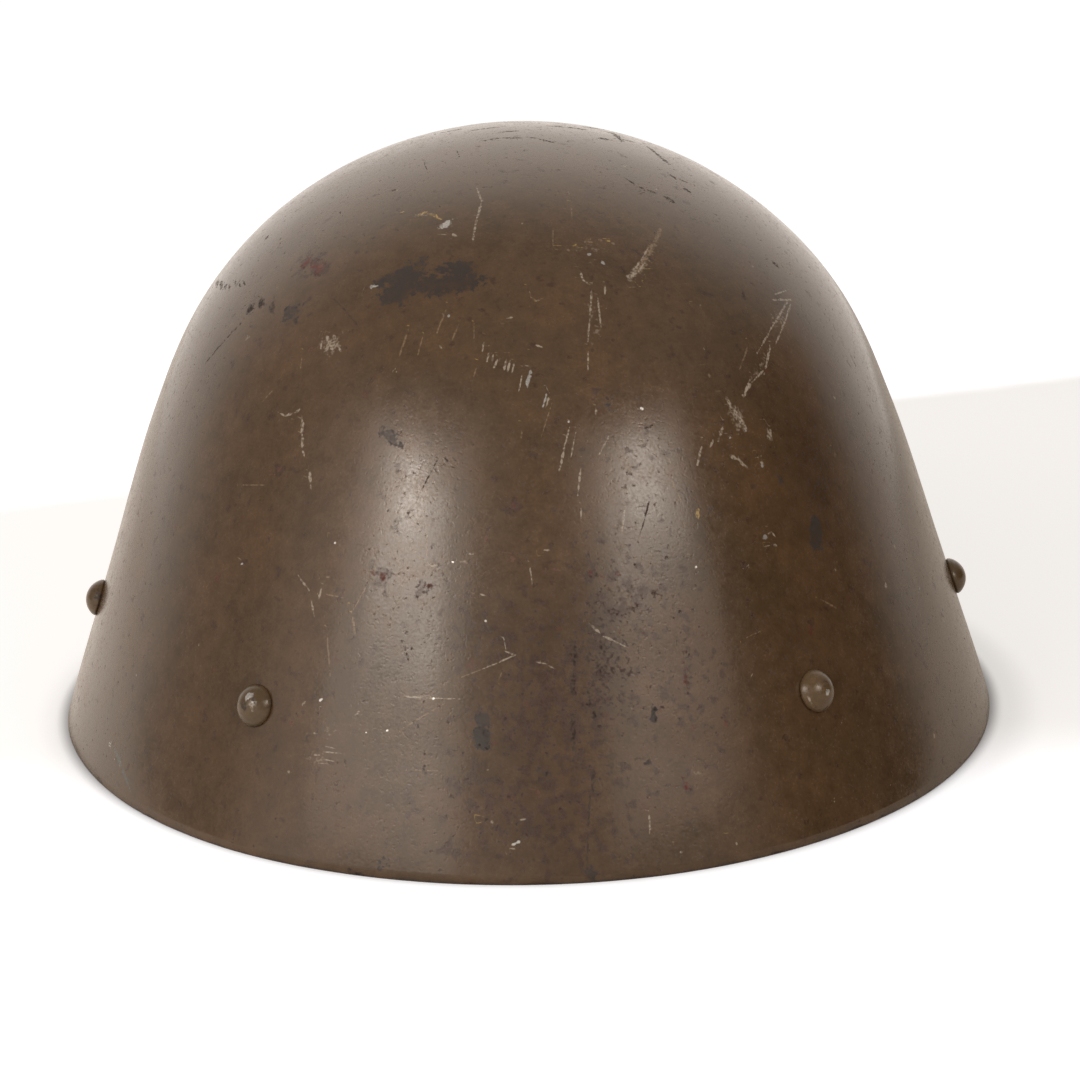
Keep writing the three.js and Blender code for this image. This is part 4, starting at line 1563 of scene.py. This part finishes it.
@dataclass(frozen=True)
class Surround:
    """The room: white behind the helmet, glowing round the lamps, and dim to the right."""

    glows: tuple[Glow, ...] = (
        Glow((0.0, 1.0, 0.0), 0.20, 0.92, 1.15),
        Glow((0.0, 0.0, 1.0), 0.30, 0.80, 0.35),
        Glow((-1.0, 0.0, 0.0), 0.50, 1.00, 0.35),
        Glow((-0.633, -0.754, 0.174), 0.65, 0.95, 0.95),
        Glow((0.492, -0.853, 0.174), 0.75, 0.97, 0.55),
    )
    backdrop: float = 1.02
    backdrop_colour: Colour = (1.0, 1.0, 1.0)
    colour: Colour = (1.0, 0.91, 0.83)

    def build(self) -> None:
        """Makes the world."""
        world = bpy.data.worlds.new("studio")
        world.use_nodes = True
        bpy.context.scene.world = world
        board = Board(world.node_tree)
        direction = board.value("ShaderNodeTexCoord", {}, {}, "Generated")
        light = reduce(Value.__add__, (glow.light(board, direction) for glow in self.glows))
        seen = board.value("ShaderNodeLightPath", {}, {}, "Is Camera Ray")
        room = board.value("ShaderNodeBackground", {}, {"Color": self.colour, "Strength": light})
        backdrop = {"Color": self.backdrop_colour, "Strength": self.backdrop}
        paper = board.value("ShaderNodeBackground", {}, backdrop)
        both = board.value("ShaderNodeMixShader", {}, {0: seen, 1: room, 2: paper})
        board.add("ShaderNodeOutputWorld", {}, {"Surface": both})


@dataclass(frozen=True)
class Floor:
    """The white sheet that the helmet stands on, overexposed in front by its own glow, with a painted contact shadow
    round the rim, faintly warm painted shade behind the helmet, and painted light that only mirrored rays see. Metres.
    """

    half_size: float = 1.6
    glow: float = 0.72
    albedo: Colour = (0.68, 0.72, 0.80)
    rear_shade_albedo: Colour = (0.39, 0.40, 0.42)
    bounce: Colour = (0.66, 0.61, 0.55)
    light: Colour = (1.0, 1.0, 1.0)
    left_light: Colour = (0.955, 0.915, 0.865)
    right_light: Colour = (0.895, 0.868, 0.835)
    mirrored_light: Colour = (1.0, 0.91, 0.84)
    crease_size: float = 0.05
    # Where the helmet stands in plan, round which the painted contact shadow lies
    helmet_middle: float = 0.004
    helmet_half_size: tuple[float, float] = (0.122, 0.143)
    far_edge: tuple[float, float] = (0.302, 0.476)  # its Y in the middle, and its slope

    def _material(self) -> bpy.types.Material:
        """Makes the sheet's finish: paper whose glow fades close to the rim in a painted contact shadow, with painted
        shade behind the helmet and painted light for mirrored rays.

        Returns:
            The material.
        """
        material, board = new_board("white_sheet")
        place = board.place()
        x, y, _ = board.parts(place)
        half_x, half_y = self.helmet_half_size
        flat = board.value("ShaderNodeVectorMath", {"operation": "MULTIPLY_ADD"}, {
            0: place, 1: (1 / half_x, 1 / half_y, 0.0), 2: (0.0, -self.helmet_middle / half_y, 0.0),
        })
        away = (board.length(flat) - 1.0) * half_x
        # The glow falls to a twentieth at the rim and returns within about a centimetre: a painted contact shadow,
        # which reaches further on the right.
        near = away.smooth(-0.001, 0.0035, 0.05, 0.80) + (away - x * 0.02).smooth(0.001, 0.012, 0.0, 0.20)
        beyond = y - x * self.far_edge[1] - self.far_edge[0]
        creases = board.noise(board.stretch(place, (1.0, 2.0, 1.0)), self.crease_size, 3.0, 0.5)
        # Behind the helmet's middle, up to the table's far edge, the paper's camera colour and its glow are dimmed and
        # warmed, less on the far left: painted shade and warm painted light.
        painted_rear_shade = y.smooth(-0.10, -0.04) * (beyond + creases * 0.012).smooth(0.0, 0.03, 1.0, 0.0)
        painted_rear_shade = painted_rear_shade * x.smooth(-0.14, -0.05, 0.75, 1.0)
        warm = board.mix(x.smooth(-0.05, 0.15), self.left_light, self.right_light)
        tint = board.mix(painted_rear_shade, self.light, warm)
        path = board.add("ShaderNodeLightPath", {}, {})
        seen = Value(board, path.outputs["Is Camera Ray"])
        glossy = Value(board, path.outputs["Is Glossy Ray"])
        # Mirrored rays see the glow as well, warm and stronger on the left than on the right: painted light in the
        # helmet's reflections of the sheet.
        mirrored = seen + glossy * x.smooth(-0.1, 0.1, 0.68, 0.20)
        tint = board.mix(glossy, tint, self.mirrored_light)
        # The camera sees the bluish paper colour, which tints the shadows blue: a painted shade colour. Other rays see
        # the warmer bounce colour, which warms the light the sheet throws back: painted warm light.
        paper = board.mix(seen, self.bounce, board.mix(painted_rear_shade, self.albedo, self.rear_shade_albedo))
        white = board.value("ShaderNodeBsdfDiffuse", {}, {"Color": paper})
        glow = board.value("ShaderNodeEmission", {}, {"Color": tint, "Strength": near * mirrored * self.glow})
        sheet = board.value("ShaderNodeAddShader", {}, {0: white, 1: glow})
        board.add("ShaderNodeOutputMaterial", {}, {"Surface": sheet})
        return material

    def build(self) -> bpy.types.Object:
        """Makes the sheet.

        Returns:
            The sheet's object.
        """
        size = self.half_size
        corners = [(-size, -size, 0), (size, -size, 0), (size, size, 0), (-size, size, 0)]
        mesh = bpy.data.meshes.new("floor")
        mesh.from_pydata(corners, [], [(0, 1, 2, 3)])
        mesh.materials.append(self._material())
        floor = new_object("floor", mesh)
        return floor


@dataclass
class Studio:
    """Camera, lamps, room and floor."""

    view: PictureView = field(default_factory=PictureView)
    lamps: tuple[Softbox, ...] = (
        Softbox("left_heart", -38.9, 30.5, 0.16, 0.14, 6.5, 1.15),
        Softbox("left_core", -38.0, 27.5, 0.44, 0.30, 4.5, 1.20),
        Softbox("left_halo", -38.9, 26.0, 0.80, 0.60, 1.4, 1.25),
        Softbox("right_heart", 38.5, 33.0, 0.20, 0.17, 4.0, 1.15),
        Softbox("right_core", 38.0, 30.0, 0.48, 0.28, 2.8, 1.20),
        Softbox("right_halo", 37.0, 29.0, 0.78, 0.58, 1.0, 1.25),
    )
    surround: Surround = field(default_factory=Surround)
    floor: Floor = field(default_factory=Floor)
    aim: tuple[float, float, float] = (0.0, 0.0, 0.05)

    def build(self) -> None:
        """Makes all of it."""
        bpy.context.scene.view_settings.view_transform = "Standard"
        self.view.build()
        for lamp in self.lamps:
            lamp.build(Vector(self.aim))
        self.surround.build()
        self.floor.build()


def main() -> None:
    """Builds the studio and the helmet."""
    logging.basicConfig(level=logging.INFO, format="%(name)s: %(message)s")
    studio = Studio()
    studio.build()
    log.info("studio: camera, %d lamps and floor", len(studio.lamps))
    form = ShellForm()
    rivets = [
        Rivet(f"{pair}_rivet_{side}", sign * bearing)
        for pair, bearing in RIVETS
        for side, sign in (("left", 1), ("right", -1))
    ]
    finishes = [WornPaint("shell_paint").build(), InsidePaint().build(), RawEdge().build()]
    shell = Shell(form).build(rivets, studio.view, finishes)
    log.info("%s: %d faces", shell.name, len(shell.data.polygons))
    rivet_paint = WornPaint(
        "rivet_paint", colour=(0.098, 0.062, 0.029), warm=(0.100, 0.061, 0.028), cool=(0.088, 0.057, 0.028),
        roughness=0.20, specks=0.5,
    ).build()
    for rivet in rivets:
        piece = rivet.build(form, studio.view, rivet_paint)
        log.info("%s: %d faces", piece.name, len(piece.data.polygons))


if __name__ == "__main__":
    main()
